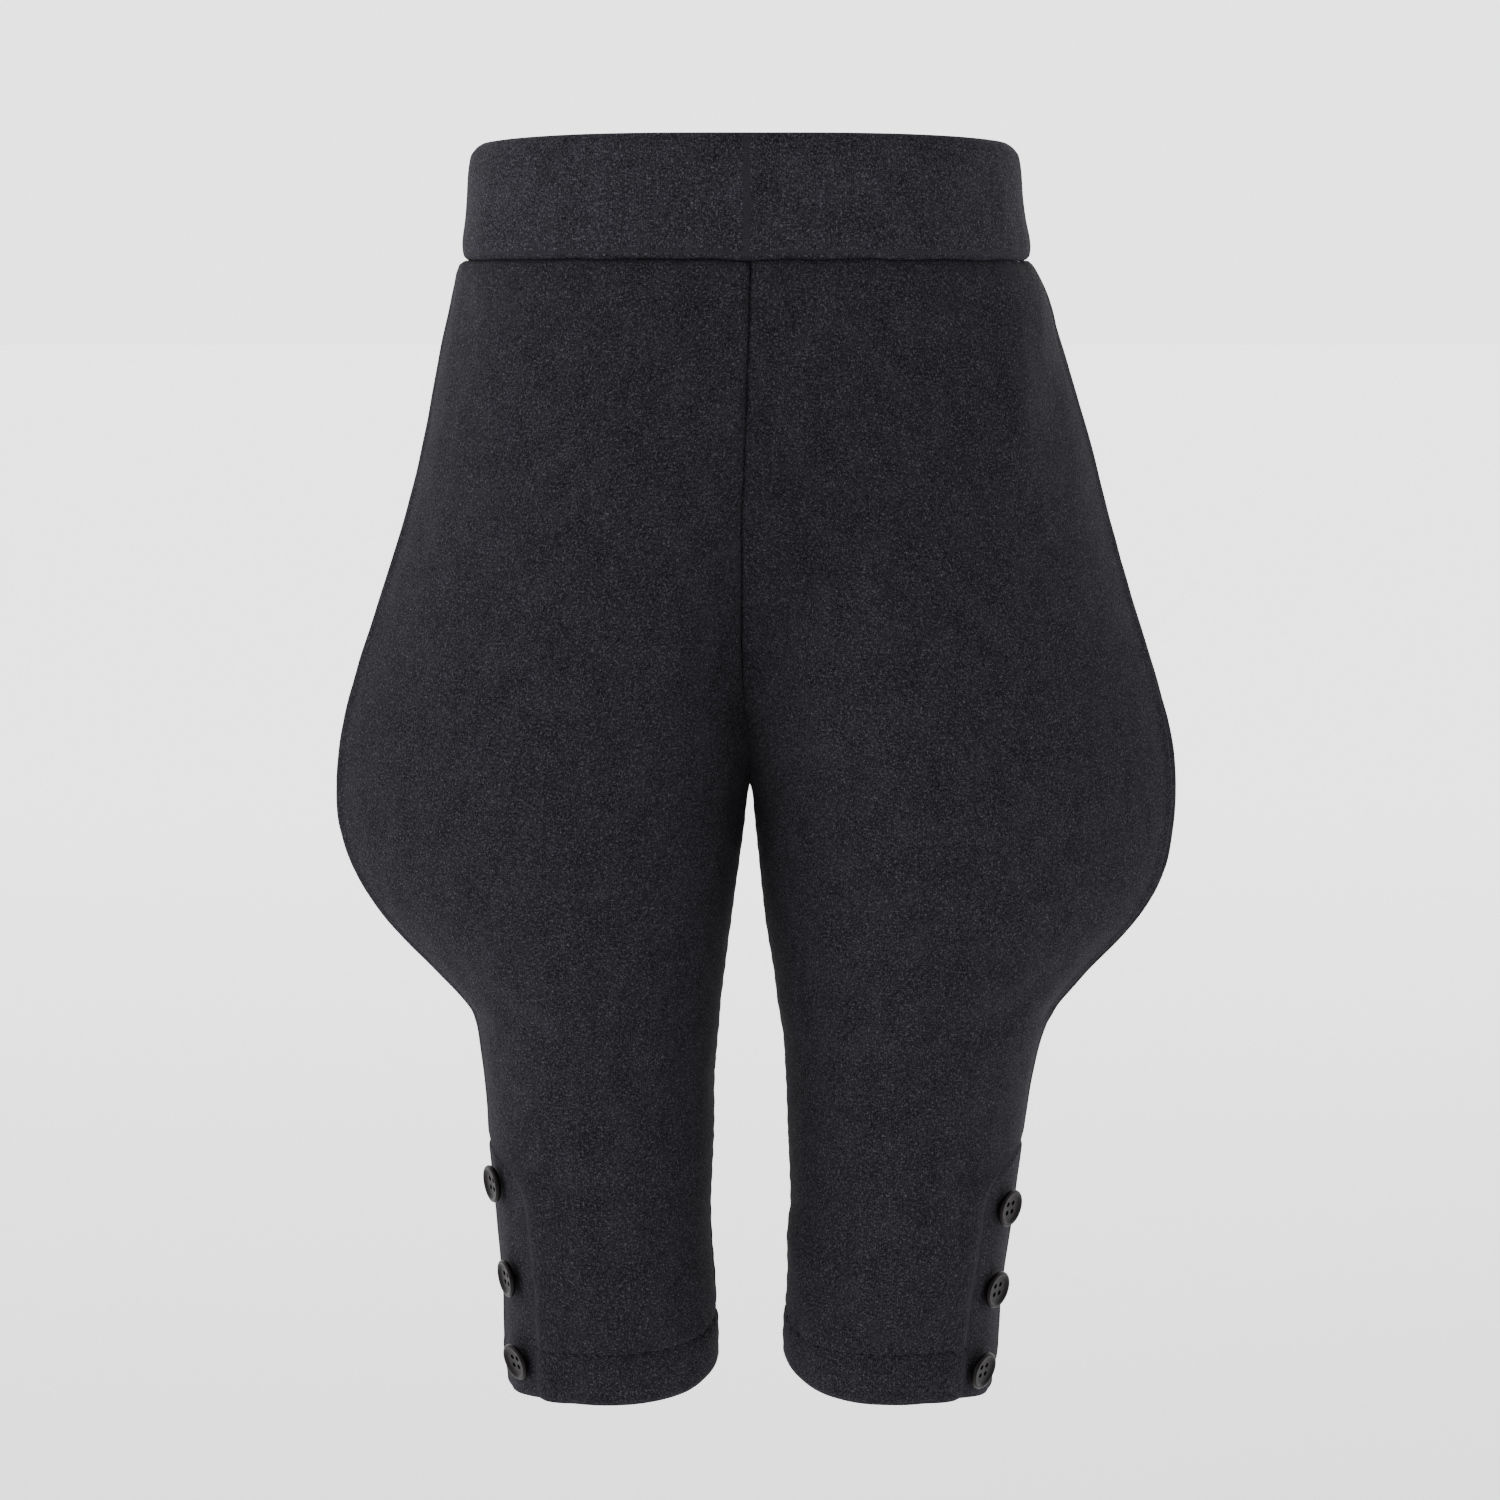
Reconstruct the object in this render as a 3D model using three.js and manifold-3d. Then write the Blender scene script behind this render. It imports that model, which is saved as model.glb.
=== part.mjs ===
// Pull-on riding breeches for a toddler, filled out as worn: a deep folded waistband, four leg panels that
// flare at the hip, a short vent with a button strip at each outer hem, and three buttons on each strip.
// Millimetres. +X is the wearer's left, -Y the front, +Z up. The origin is the middle of the waist opening,
// about half-way down the waistband.

import * as THREE from "three";
import { mergeVertices } from "three/addons/utils/BufferGeometryUtils.js";
import Module from "manifold-3d";

const wasm = await Module();
wasm.setup();

// Cloth
const WALL = 1.5;
const SEAM_GAP = 0.3;
const HALF_GAP = SEAM_GAP / 2;
const INNER_HALF_GAP = 0.45;

// Waistband, folded double
const BAND_TOP = 18.2;
const BAND_BOTTOM = -18.8;
const BAND_WALL = 3.4;
const BAND_EDGE_RADIUS = 1.7;
const BAND_HEIGHTS = [-14.5, 0, 11, 14.5];
const BAND_DIP_AT_SIDE = 0.9;

// Leg panels
const PANEL_TOP = BAND_BOTTOM - SEAM_GAP;
const FORK_Z = -187;
const FORK_Y = 6;
const INSEAM_Y_AT_HEM = 0;
const HEM_Z = -383.4;
const HEM_DEPTH = 17;
const HEM_SECOND_LAYER = 1.3;
const HEM_RISE_AT_INSEAM = 3.5;

// Where the left back panel rolls past the side seam: the roll from which it loses its pinch, and how far its
// corner then goes out for each millimetre of roll.
const FULL_ROLL = 2;
const LEAN_BY_ROLL = 9;

// Vent and button strip at the outer hem
const VENT_TOP = -304;
const VENT_SHOWS = 12;
const VENT_CURVE = 3;
const SIDE_ARC_LENGTH = 60;
const STRIP_WALL = 1.5;
const STRIP_OVERLAP = 5;
const STRIP_TOP = VENT_TOP + 3;
const STRIP_BOTTOM = HEM_Z + 0.4;
const LIP_RISE = WALL + 0.45;
const LIP_FLAT = 6;
const LIP_RAMP = 10;
const STRIP_SINKS_FROM = VENT_TOP - 8;
const STRIP_SUNK_AT = VENT_TOP - 1;

// Buttons
const BUTTON_RADIUS = 6.2;
const BUTTON_SHANK_RADIUS = 1.6;
const BUTTON_SHANK = 0.9;
const BUTTON_HOLE_RADIUS = 0.85;
const BUTTON_HOLE_SPREAD = 1.45;

// How far the handles of an arc reach towards the corner that it rounds off. 0.55 is a quarter ellipse.
const ROUNDNESS = 0.56;

// Short steps along a surface, from which its direction is worked out.
const NORMAL_STEP_U = 0.01;
const NORMAL_STEP_Z = 0.3;

const LEFT = { name: "left", sign: 1 };
const RIGHT = { name: "right", sign: -1 };
const FRONT = { name: "front", sign: -1 };
const BACK = { name: "back", sign: 1 };

function table(columns, rows) {
  return rows.map((row) => Object.fromEntries(columns.map((column, i) => [column, row[i]])));
}

// The waistband's outer face. left and right are its half-widths, frontY and backY its reach, and crownX is
// where the flat middle turns into the side. It bends in at the top, where the cloth is folded over.
const BAND = table(
  ["z", "left", "right", "crownX", "frontY", "backY"],
  [
    [18.2, 81.8, 85.2, 16, -64.8, 60.2],
    [14.5, 84.6, 87.9, 16, -66.2, 61.4],
    [0.0, 86.2, 89.5, 16, -67.0, 62.0],
    [-14.5, 88.3, 90.6, 16, -67.6, 62.5],
    [-18.8, 88.2, 90.3, 16, -67.2, 62.2],
  ],
);

// The legs' outer face, one row for each height. left and right are the half-widths at the side, and roll is
// how far the left back panel rolls forward past its side seam. seamY is the side seam, and pinch how far the
// two panels lean in to meet there. crownX, frontY and backY are the foremost and rearmost points. inner is
// the inner side of each leg: past the middle above the fork, where the two legs run into each other and
// leave a dip along the centre seam, and the inseam below it.
const LEGS = table(
  ["z", "left", "right", "roll", "seamY", "pinch", "crownX", "frontY", "backY", "innerLeft", "innerRight"],
  [
    [-19.1, 88.7, 91.2, 0.0, 0, 0, 16, -66.4, 61.2, -420, -420],
    [-24.0, 91.6, 92.8, 0.0, 0, 0, 16, -68.4, 63.6, -410, -410],
    [-32.0, 94.8, 94.9, 0.0, 0, 2, 17, -69.4, 66.0, -390, -390],
    [-50.0, 100.8, 98.8, 0.0, -1, 6, 20, -71.0, 71.0, -330, -330],
    [-75.0, 108.2, 103.9, 0.0, -1, 12, 26, -71.6, 77.0, -220, -220],
    [-100.0, 115.2, 110.2, 0.3, -2, 18, 33, -71.2, 80.5, -120, -120],
    [-125.0, 123.1, 118.5, 0.8, -3, 23, 40, -70.0, 80.5, -54, -54],
    [-150.0, 131.2, 126.9, 1.6, -4, 27, 46, -67.8, 76.0, -19, -19],
    [-170.0, 136.6, 132.0, 2.2, -5, 30, 50, -65.0, 70.0, -5.5, -5.5],
    [-187.0, 138.5, 133.8, 2.6, -5, 31, 52, -62.5, 64.0, 0.15, 0.15],
    [-200.0, 138.1, 132.8, 2.8, -5, 31, 52, -60.6, 59.0, 1.6, 1.9],
    [-215.0, 134.9, 127.6, 2.8, -5, 30, 52, -58.0, 53.6, 3.2, 3.9],
    [-230.0, 126.0, 117.9, 2.6, -5, 26, 51, -55.0, 48.8, 4.9, 5.8],
    [-245.0, 112.3, 103.4, 3.0, -6, 19, 50, -51.8, 44.8, 7.2, 7.8],
    [-258.0, 101.4, 91.0, 3.0, -6, 11, 49, -49.0, 42.0, 8.8, 9.5],
    [-264.0, 98.1, 88.8, 1.6, -4, 7, 49, -47.6, 41.0, 9.8, 9.9],
    [-270.0, 95.2, 87.8, 0.6, -3, 4, 49, -46.4, 40.2, 10.8, 10.5],
    [-285.0, 91.5, 86.3, 0.0, 0, 1, 49, -43.8, 39.6, 11.8, 11.5],
    [-305.0, 88.9, 85.1, 0.0, 1, 0, 49, -41.0, 40.4, 12.5, 11.9],
    [-330.0, 85.9, 83.0, 0.0, 2, 0, 49, -38.2, 40.0, 13.1, 12.7],
    [-355.0, 82.7, 81.1, 0.0, 2, 0, 47, -35.6, 37.0, 12.0, 11.2],
    [-368.0, 81.9, 80.9, 0.0, 2, 0, 46, -34.4, 35.4, 11.0, 10.7],
    [-377.0, 81.3, 80.7, 0.0, 2, 0, 46, -33.9, 34.6, 11.6, 10.9],
    [-383.4, 79.8, 79.8, 0.0, 2, 0, 46, -33.2, 33.8, 13.4, 12.2],
  ],
);

// The heights at which the walls are built, closer together where the outline turns.
const PANEL_ROWS = [
  PANEL_TOP, -21, -25, -32, -50, -72, -96, -120, -140, -157, -170, -179, -184.5, FORK_Z,
  -194, -204, -214, -223, -232, -241, -250, -258, -264, -270, -280, -288, -295, -300, VENT_TOP, -304.7,
  -305.5, -306.5, -308, -310.5, -315, -324, -338, -353, HEM_Z + HEM_DEPTH, HEM_Z + HEM_DEPTH - 0.8, -374, -379, HEM_Z + 1.5, HEM_Z,
];
const STRIP_ROWS = [STRIP_TOP, -304.5, -307, -310, -316, -326, -340, -356, -370, STRIP_BOTTOM];

// Where the columns of a panel lie on its two arcs: 0 is the inner edge, 1 the crown, 2 the side seam.
const INNER_COLUMNS = [0, 0.25, 0.55, 1];
const SIDE_COLUMNS = [0.13, 0.26, 0.39, 0.52, 0.64, 0.76, 0.88, 1];

// Soft folds. Each runs from (x0, z0) to (x1, z1) as seen from its own face, and stands out by height, or
// sinks in where that is negative.
const FOLDS = table(
  ["face", "x0", "z0", "x1", "z1", "width", "height"],
  [
    [FRONT, 80, -24, 82, -88, 7, 1.5],
    [FRONT, 93, -40, 98, -80, 8, -1.2],
    [FRONT, 66, -26, 56, -70, 11, -0.9],
    [FRONT, 37, -34, 14, -100, 8, -1.2],
    [FRONT, -88, -26, -90, -62, 6, -0.9],
    [FRONT, -36, -36, -14, -96, 9, -0.8],
    [FRONT, 17, -330, 24, -384, 5, 1.2],
    [BACK, 20, -150, 74, -176, 9, -1.6],
    [BACK, -20, -152, -70, -172, 9, -1.6],
    [BACK, 30, -262, 74, -270, 8, -1.5],
    [BACK, -28, -266, -72, -262, 8, -1.5],
    [BACK, 76, -30, 60, -84, 10, -1.2],
    [BACK, -78, -30, -64, -80, 10, -1.2],
  ],
);

// Buttons, counted downwards: height, distance inside the side, and the way that each faces, in degrees from
// sideways towards the front and from level downwards.
const BUTTONS = table(
  ["leg", "z", "inset", "forward", "down"],
  [
    [LEFT, -321.5, 5.3, 37, 14],
    [LEFT, -348.8, 4.8, 37, 14],
    [LEFT, -374.9, 7.2, 37, 14],
    [RIGHT, -314.5, 3.4, 24, 15],
    [RIGHT, -345.1, 5.2, 24, 15],
    [RIGHT, -372.3, 6.8, 28, 16],
  ],
);

const clamp01 = (value) => Math.min(1, Math.max(0, value));

function smoothstep(from, to, value) {
  const t = clamp01((value - from) / (to - from));
  return t * t * (3 - 2 * t);
}

// A smooth curve through a table's rows, read at one height.
function sample(rows, z) {
  const last = rows.length - 1;
  let i = 0;
  while (i < last - 1 && z < rows[i + 1].z) {
    i += 1;
  }
  const [a, b] = [rows[i], rows[i + 1]];
  const [before, after] = [rows[Math.max(i - 1, 0)], rows[Math.min(i + 2, last)]];
  const span = b.z - a.z;
  const t = clamp01((z - a.z) / span);
  const result = {};
  for (const column of Object.keys(a)) {
    const slopeA = ((b[column] - before[column]) / (b.z - before.z)) * span;
    const slopeB = ((after[column] - a[column]) / (after.z - a.z)) * span;
    result[column] =
      a[column] * (1 + 2 * t) * (1 - t) ** 2 +
      slopeA * t * (1 - t) ** 2 +
      b[column] * t * t * (3 - 2 * t) +
      slopeB * t * t * (t - 1);
  }
  return result;
}

// A cubic arc from start to end that rounds off the corner between them.
function arc(start, corner, end, t) {
  const [a, b, c, d] = [(1 - t) ** 3, 3 * t * (1 - t) ** 2, 3 * t * t * (1 - t), t ** 3];
  return start.map((value, k) => {
    const leaving = value + ROUNDNESS * (corner[k] - value);
    const arriving = end[k] + ROUNDNESS * (corner[k] - end[k]);
    return a * value + b * leaving + c * arriving + d * end[k];
  });
}

// The inseam's place from front to back.
function inseamY(z) {
  return FORK_Y + (INSEAM_Y_AT_HEM - FORK_Y) * clamp01((FORK_Z - z) / (FORK_Z - HEM_Z));
}

// Where the value that rising(t) gives reaches the target, for t from low to high.
function solve(rising, target, low, high) {
  let [from, to] = [low, high];
  for (let step = 0; step < 40; step += 1) {
    const middle = (from + to) / 2;
    if (rising(middle) < target) {
      from = middle;
    } else {
      to = middle;
    }
  }
  return (from + to) / 2;
}

// The five points that a quarter of a section is drawn from, on the +X side. start is where the inner arc
// comes out of the centre seam's plane.
function legQuarter(leg, face, z) {
  const row = sample(LEGS, z);
  const crownY = face === FRONT ? row.frontY : row.backY;
  const roll = leg === LEFT ? row.roll : 0;
  const seamX = row[leg.name] - roll;
  const gap = face.sign * HALF_GAP;
  const innerX = leg === LEFT ? row.innerLeft : row.innerRight;
  const rolled = face === BACK ? clamp01(roll / FULL_ROLL) : 0;
  const lean = LEAN_BY_ROLL * roll * rolled - row.pinch * (1 - rolled);
  const quarter = {
    innerEnd: [innerX, inseamY(z) + gap],
    innerCorner: [innerX, crownY],
    crown: [row.crownX, crownY],
    sideCorner: [seamX + lean, crownY],
    seam: [seamX, row.seamY + gap],
    start: 0,
  };
  if (innerX < HALF_GAP) {
    quarter.start = solve((t) => innerArc(quarter, t)[0], HALF_GAP, 0, 1);
  }
  return quarter;
}

function bandQuarter(leg, face, z) {
  const row = sample(BAND, z);
  const crownY = face === FRONT ? row.frontY : row.backY;
  return {
    innerEnd: [0, crownY],
    innerCorner: [row.crownX / 2, crownY],
    crown: [row.crownX, crownY],
    sideCorner: [row[leg.name], crownY],
    seam: [row[leg.name], 0],
    start: 0,
  };
}

function innerArc(quarter, t) {
  return arc(quarter.innerEnd, quarter.innerCorner, quarter.crown, t);
}

function onQuarter(quarter, u) {
  return u <= 1
    ? innerArc(quarter, quarter.start + (1 - quarter.start) * u)
    : arc(quarter.crown, quarter.sideCorner, quarter.seam, u - 1);
}

// The place on a front panel's side arc that lies the given distance inside the side seam.
function uAtInset(leg, z, inset) {
  const quarter = legQuarter(leg, FRONT, z);
  return solve((u) => onQuarter(quarter, u)[0], quarter.seam[0] - inset, 1, 2);
}

// Where the front panel ends: at the side seam, and along the folded edge of the vent below its top.
function frontEdge(leg, z) {
  if (z >= VENT_TOP) {
    return 2;
  }
  return 2 - (2 - uAtInset(leg, z, VENT_SHOWS)) * (1 - Math.exp((z - VENT_TOP) / VENT_CURVE));
}

// 1 where the front panel lies on the button strip, 0 away from it.
function lipMask(leg, z, u) {
  const distance = (frontEdge(leg, z - LIP_FLAT) - u) * SIDE_ARC_LENGTH;
  return 1 - smoothstep(LIP_FLAT, LIP_FLAT + LIP_RAMP, distance);
}

// How much of the step between front panel and strip the strip takes by sinking in: all of it at its top.
function stripSunk(z) {
  return smoothstep(STRIP_SINKS_FROM, STRIP_SUNK_AT, z);
}

function foldHeight(leg, face, x, z) {
  let height = 0;
  for (const fold of FOLDS) {
    const onThisSide = Math.sign(fold.x0) === leg.sign && fold.face === face;
    if (onThisSide) {
      const [dx, dz] = [fold.x1 - fold.x0, fold.z1 - fold.z0];
      const [px, pz] = [leg.sign * x - fold.x0, z - fold.z0];
      const along = (px * dx + pz * dz) / (dx * dx + dz * dz);
      const aside = Math.abs(px * dz - pz * dx) / Math.hypot(dx, dz) / fold.width;
      const fade = smoothstep(-0.15, 0.2, along) * (1 - smoothstep(0.7, 1.2, along));
      height += fold.height * fade * Math.exp(-aside * aside);
    }
  }
  return height * smoothstep(PANEL_TOP, PANEL_TOP - 6, z);
}

// The outward direction of a surface at one place, from short steps across and down it.
function normalOf(surface, z, u, outward) {
  const across = surface(z, u + NORMAL_STEP_U).sub(surface(z, u - NORMAL_STEP_U));
  const down = surface(z - NORMAL_STEP_Z, u).sub(surface(z, u));
  return across.cross(down).multiplyScalar(outward).normalize();
}

// Two grids of points, the cloth's outer and inner face, joined at their edges into one closed wall.
function wallGeometry(outer, inner, flipped) {
  const [rows, columns] = [outer.length, outer[0].length];
  const positions = [...outer.flat(), ...inner.flat()].flatMap((p) => [p.x, p.y, p.z]);
  const indices = [];
  const outerAt = (r, c) => r * columns + c;
  const innerAt = (r, c) => rows * columns + r * columns + c;
  const quad = (a, b, c, d) => {
    indices.push(...(flipped ? [a, c, b, a, d, c] : [a, b, c, a, c, d]));
  };
  for (let r = 0; r < rows - 1; r += 1) {
    for (let c = 0; c < columns - 1; c += 1) {
      quad(outerAt(r, c), outerAt(r + 1, c), outerAt(r + 1, c + 1), outerAt(r, c + 1));
      quad(innerAt(r, c), innerAt(r, c + 1), innerAt(r + 1, c + 1), innerAt(r + 1, c));
    }
    quad(outerAt(r, 0), innerAt(r, 0), innerAt(r + 1, 0), outerAt(r + 1, 0));
    const last = columns - 1;
    quad(outerAt(r, last), outerAt(r + 1, last), innerAt(r + 1, last), innerAt(r, last));
  }
  for (let c = 0; c < columns - 1; c += 1) {
    const last = rows - 1;
    quad(outerAt(0, c), outerAt(0, c + 1), innerAt(0, c + 1), innerAt(0, c));
    quad(outerAt(last, c), innerAt(last, c), innerAt(last, c + 1), outerAt(last, c + 1));
  }
  const geometry = new THREE.BufferGeometry();
  geometry.setAttribute("position", new THREE.Float32BufferAttribute(positions, 3));
  geometry.setIndex(indices);
  geometry.computeVertexNormals();
  return geometry;
}

// How much higher than its row a point lies: the hem rises towards the inseam.
function hemRise(z, u) {
  return HEM_RISE_AT_INSEAM * clamp01(1 - u) ** 3 * smoothstep(HEM_Z + HEM_DEPTH, HEM_Z, z);
}

// A wall of cloth over part of a leg. uAt gives the columns of a row, lift how far the outer face stands
// off the leg's form, and thickness the wall there.
function clothWall(leg, face, heights, uAt, lift, thickness) {
  const outward = leg.sign * face.sign;
  const form = (z, u) => {
    const [x, y] = onQuarter(legQuarter(leg, face, z), u);
    return new THREE.Vector3(leg.sign * x, y, z);
  };
  const surface = (z, u) => {
    const point = form(z, u);
    const height = lift(point, u);
    return height === 0 ? point : point.addScaledVector(normalOf(form, z, u, outward), height);
  };
  const outer = [];
  const inner = [];
  heights.forEach((z, r) => {
    const places = uAt(z);
    const onEdge = r === 0 || r === heights.length - 1;
    outer.push(places.map((u) => {
      const height = z + hemRise(z, u);
      const point = surface(height, u);
      point.z = height;
      return keepClear(point, leg, face, u, HALF_GAP);
    }));
    inner.push(places.map((u, c) => {
      const height = outer[r][c].z;
      const point = outer[r][c].clone();
      point.addScaledVector(normalOf(surface, height, u, outward), -thickness(z, u));
      point.z = onEdge ? height : point.z;
      return keepClear(point, leg, face, u, INNER_HALF_GAP);
    }));
  });
  return wallGeometry(outer, inner, outward > 0);
}

// Holds a point on its own side of the centre seam, the inseam and the side seam, clear of them by the gap.
function keepClear(point, leg, face, u, gap) {
  point.x = leg.sign * Math.max(leg.sign * point.x, gap);
  const limit = u > 1 ? sample(LEGS, point.z).seamY : inseamY(point.z);
  point.y = limit + face.sign * Math.max(face.sign * (point.y - limit), gap);
  return point;
}

function panelGeometry(leg, face) {
  const uAt = (z) => {
    const edge = face === FRONT ? frontEdge(leg, z) : 2;
    return [...INNER_COLUMNS, ...SIDE_COLUMNS.map((part) => 1 + (edge - 1) * part)];
  };
  const mask = (z, u) => (face === FRONT ? lipMask(leg, z, u) : 0);
  const lift = (point, u) =>
    foldHeight(leg, face, Math.abs(point.x), point.z) + LIP_RISE * mask(point.z, u) * (1 - stripSunk(point.z));
  const thickness = (z, u) => {
    const turnedUp = z < HEM_Z + HEM_DEPTH - 0.1;
    return WALL + (turnedUp ? HEM_SECOND_LAYER * (1 - mask(z, u)) : 0);
  };
  return clothWall(leg, face, PANEL_ROWS, uAt, lift, thickness);
}

function stripGeometry(leg) {
  const uAt = (z) => {
    const start = frontEdge(leg, z - STRIP_OVERLAP) - STRIP_OVERLAP / SIDE_ARC_LENGTH;
    return [0, 0.2, 0.4, 0.6, 0.8, 1].map((part) => start + (2 - start) * part);
  };
  return clothWall(leg, FRONT, STRIP_ROWS, uAt, (point) => -LIP_RISE * stripSunk(point.z), () => STRIP_WALL);
}

// The band's section: a flat strip with rounded edges, as distances in from the outer face and heights.
function bandProfile() {
  const points = [];
  const roundedEdge = (z, start) => {
    for (let step = 0; step <= 4; step += 1) {
      const angle = start - (step * Math.PI) / 4;
      points.push([BAND_WALL / 2 + BAND_EDGE_RADIUS * Math.cos(angle), z + BAND_EDGE_RADIUS * Math.sin(angle)]);
    }
  };
  points.push(...BAND_HEIGHTS.map((z) => [0, z]));
  roundedEdge(BAND_TOP - BAND_EDGE_RADIUS, Math.PI);
  points.push(...[...BAND_HEIGHTS].reverse().map((z) => [BAND_WALL, z]));
  roundedEdge(BAND_BOTTOM + BAND_EDGE_RADIUS, 0);
  return points;
}

function bandGeometry() {
  const profile = bandProfile();
  const steps = [0, 0.5, 1, 1.12, 1.24, 1.36, 1.48, 1.6, 1.72, 1.84, 2];
  const around = [
    ...steps.map((u) => [LEFT, FRONT, u]),
    ...steps.slice(0, -1).reverse().map((u) => [LEFT, BACK, u]),
    ...steps.slice(1).map((u) => [RIGHT, BACK, u]),
    ...steps.slice(1, -1).reverse().map((u) => [RIGHT, FRONT, u]),
  ];
  const count = around.length;
  const ringPoint = ([leg, face, u], z) => {
    const [x, y] = onQuarter(bandQuarter(leg, face, z), u);
    return new THREE.Vector2(leg.sign * x, y);
  };
  const positions = [];
  for (let i = 0; i < count; i += 1) {
    for (const [inset, z] of profile) {
      const before = ringPoint(around[(i + count - 1) % count], z);
      const after = ringPoint(around[(i + 1) % count], z);
      const along = after.sub(before).normalize();
      const point = ringPoint(around[i], z);
      const toSide = Math.abs(point.x) / BAND[0].left;
      const dip = BAND_DIP_AT_SIDE * clamp01(z / BAND_TOP) * toSide ** 4;
      positions.push(point.x - along.y * inset, point.y + along.x * inset, z - dip);
    }
  }
  const indices = [];
  for (let i = 0; i < count; i += 1) {
    for (let k = 0; k < profile.length; k += 1) {
      const [next, up] = [(i + 1) % count, (k + 1) % profile.length];
      const [a, b] = [i * profile.length + k, next * profile.length + k];
      const [c, d] = [next * profile.length + up, i * profile.length + up];
      indices.push(a, b, c, a, c, d);
    }
  }
  const geometry = new THREE.BufferGeometry();
  geometry.setAttribute("position", new THREE.Float32BufferAttribute(positions, 3));
  geometry.setIndex(indices);
  geometry.computeVertexNormals();
  return geometry;
}

function toSolid(geometry) {
  geometry.deleteAttribute("normal");
  geometry.deleteAttribute("uv");
  const merged = mergeVertices(geometry);
  return new wasm.Manifold(new wasm.Mesh({
    numProp: 3,
    vertProperties: new Float32Array(merged.attributes.position.array),
    triVerts: new Uint32Array(merged.index.array),
  }));
}

function toGeometry(solid) {
  const mesh = solid.getMesh();
  const geometry = new THREE.BufferGeometry();
  geometry.setAttribute("position", new THREE.BufferAttribute(mesh.vertProperties, 3));
  geometry.setIndex(new THREE.BufferAttribute(mesh.triVerts, 1));
  geometry.computeVertexNormals();
  return geometry;
}

// A four-hole button with a raised rim, turned about its Y axis, standing on its thread shank.
function buttonGeometry() {
  const profile = [
    [0, 0],
    [BUTTON_SHANK_RADIUS, 0],
    [BUTTON_SHANK_RADIUS, BUTTON_SHANK],
    [4.9, BUTTON_SHANK],
    [BUTTON_RADIUS, BUTTON_SHANK + 1.0],
    [BUTTON_RADIUS - 0.1, BUTTON_SHANK + 1.9],
    [BUTTON_RADIUS - 0.7, BUTTON_SHANK + 2.4],
    [BUTTON_RADIUS - 1.4, BUTTON_SHANK + 2.2],
    [BUTTON_RADIUS - 2.2, BUTTON_SHANK + 1.5],
    [0, BUTTON_SHANK + 1.4],
  ];
  let button = toSolid(new THREE.LatheGeometry(profile.map(([r, y]) => new THREE.Vector2(r, y)), 20));
  for (const [dx, dz] of [[1, 1], [1, -1], [-1, 1], [-1, -1]]) {
    const hole = new THREE.CylinderGeometry(BUTTON_HOLE_RADIUS, BUTTON_HOLE_RADIUS, 2, 6);
    hole.translate(dx * BUTTON_HOLE_SPREAD, BUTTON_SHANK + 1.6, dz * BUTTON_HOLE_SPREAD);
    button = button.subtract(toSolid(hole));
  }
  return toGeometry(button);
}

// The point and outward direction on a button strip.
function onStrip(leg, z, inset) {
  const u = uAtInset(leg, z, inset);
  const form = (height, place) => {
    const [x, y] = onQuarter(legQuarter(leg, FRONT, height), place);
    return new THREE.Vector3(leg.sign * x, y, height);
  };
  return { point: form(z, u), normal: normalOf(form, z, u, -leg.sign) };
}

// The way that a button faces.
function facing({ leg, forward, down }) {
  const [turn, droop] = [THREE.MathUtils.degToRad(forward), THREE.MathUtils.degToRad(down)];
  const level = Math.cos(droop);
  return new THREE.Vector3(leg.sign * Math.cos(turn) * level, -Math.sin(turn) * level, -Math.sin(droop));
}

const clothMaterial = (tint) => new THREE.MeshStandardMaterial({ color: tint, roughness: 0.92, metalness: 0 });
const buttonMaterial = () => new THREE.MeshStandardMaterial({ color: 0x1a1718, roughness: 0.32, metalness: 0 });

const breeches = new THREE.Group();

function addPiece(name, geometry, material) {
  const mesh = new THREE.Mesh(geometry, material);
  mesh.name = name;
  breeches.add(mesh);
  return mesh;
}

addPiece("waistband", bandGeometry(), clothMaterial(0x2e2e33));
for (const leg of [LEFT, RIGHT]) {
  addPiece(`front_${leg.name}`, panelGeometry(leg, FRONT), clothMaterial(0x2a2a2f));
  addPiece(`back_${leg.name}`, panelGeometry(leg, BACK), clothMaterial(0x2a2a2f));
  addPiece(`button_strip_${leg.name}`, stripGeometry(leg), clothMaterial(0x28282d));
  BUTTONS.filter((button) => button.leg === leg).forEach((button, i) => {
    const { point, normal } = onStrip(leg, button.z, button.inset);
    const mesh = addPiece(`button_${leg.name}_${i + 1}`, buttonGeometry(), buttonMaterial());
    mesh.position.copy(point.addScaledVector(normal, SEAM_GAP));
    mesh.quaternion.setFromUnitVectors(new THREE.Vector3(0, 1, 0), facing(button));
  });
}

export default breeches;
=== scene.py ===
# %% [markdown]
# # Riding breeches in charcoal double knit
#
# A toddler's pull-on riding breeches, filled out as if worn: a deep folded waistband, two fronts and two
# backs that flare at the hip, and at each outer hem a short vent with a button strip and three buttons.
# The solids that hold the sizes are loaded first. Each cell after that makes one piece or one finish.

# %% Load the frame
import math

import bmesh
import bpy
import numpy as np
from mathutils import Matrix, Vector


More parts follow.
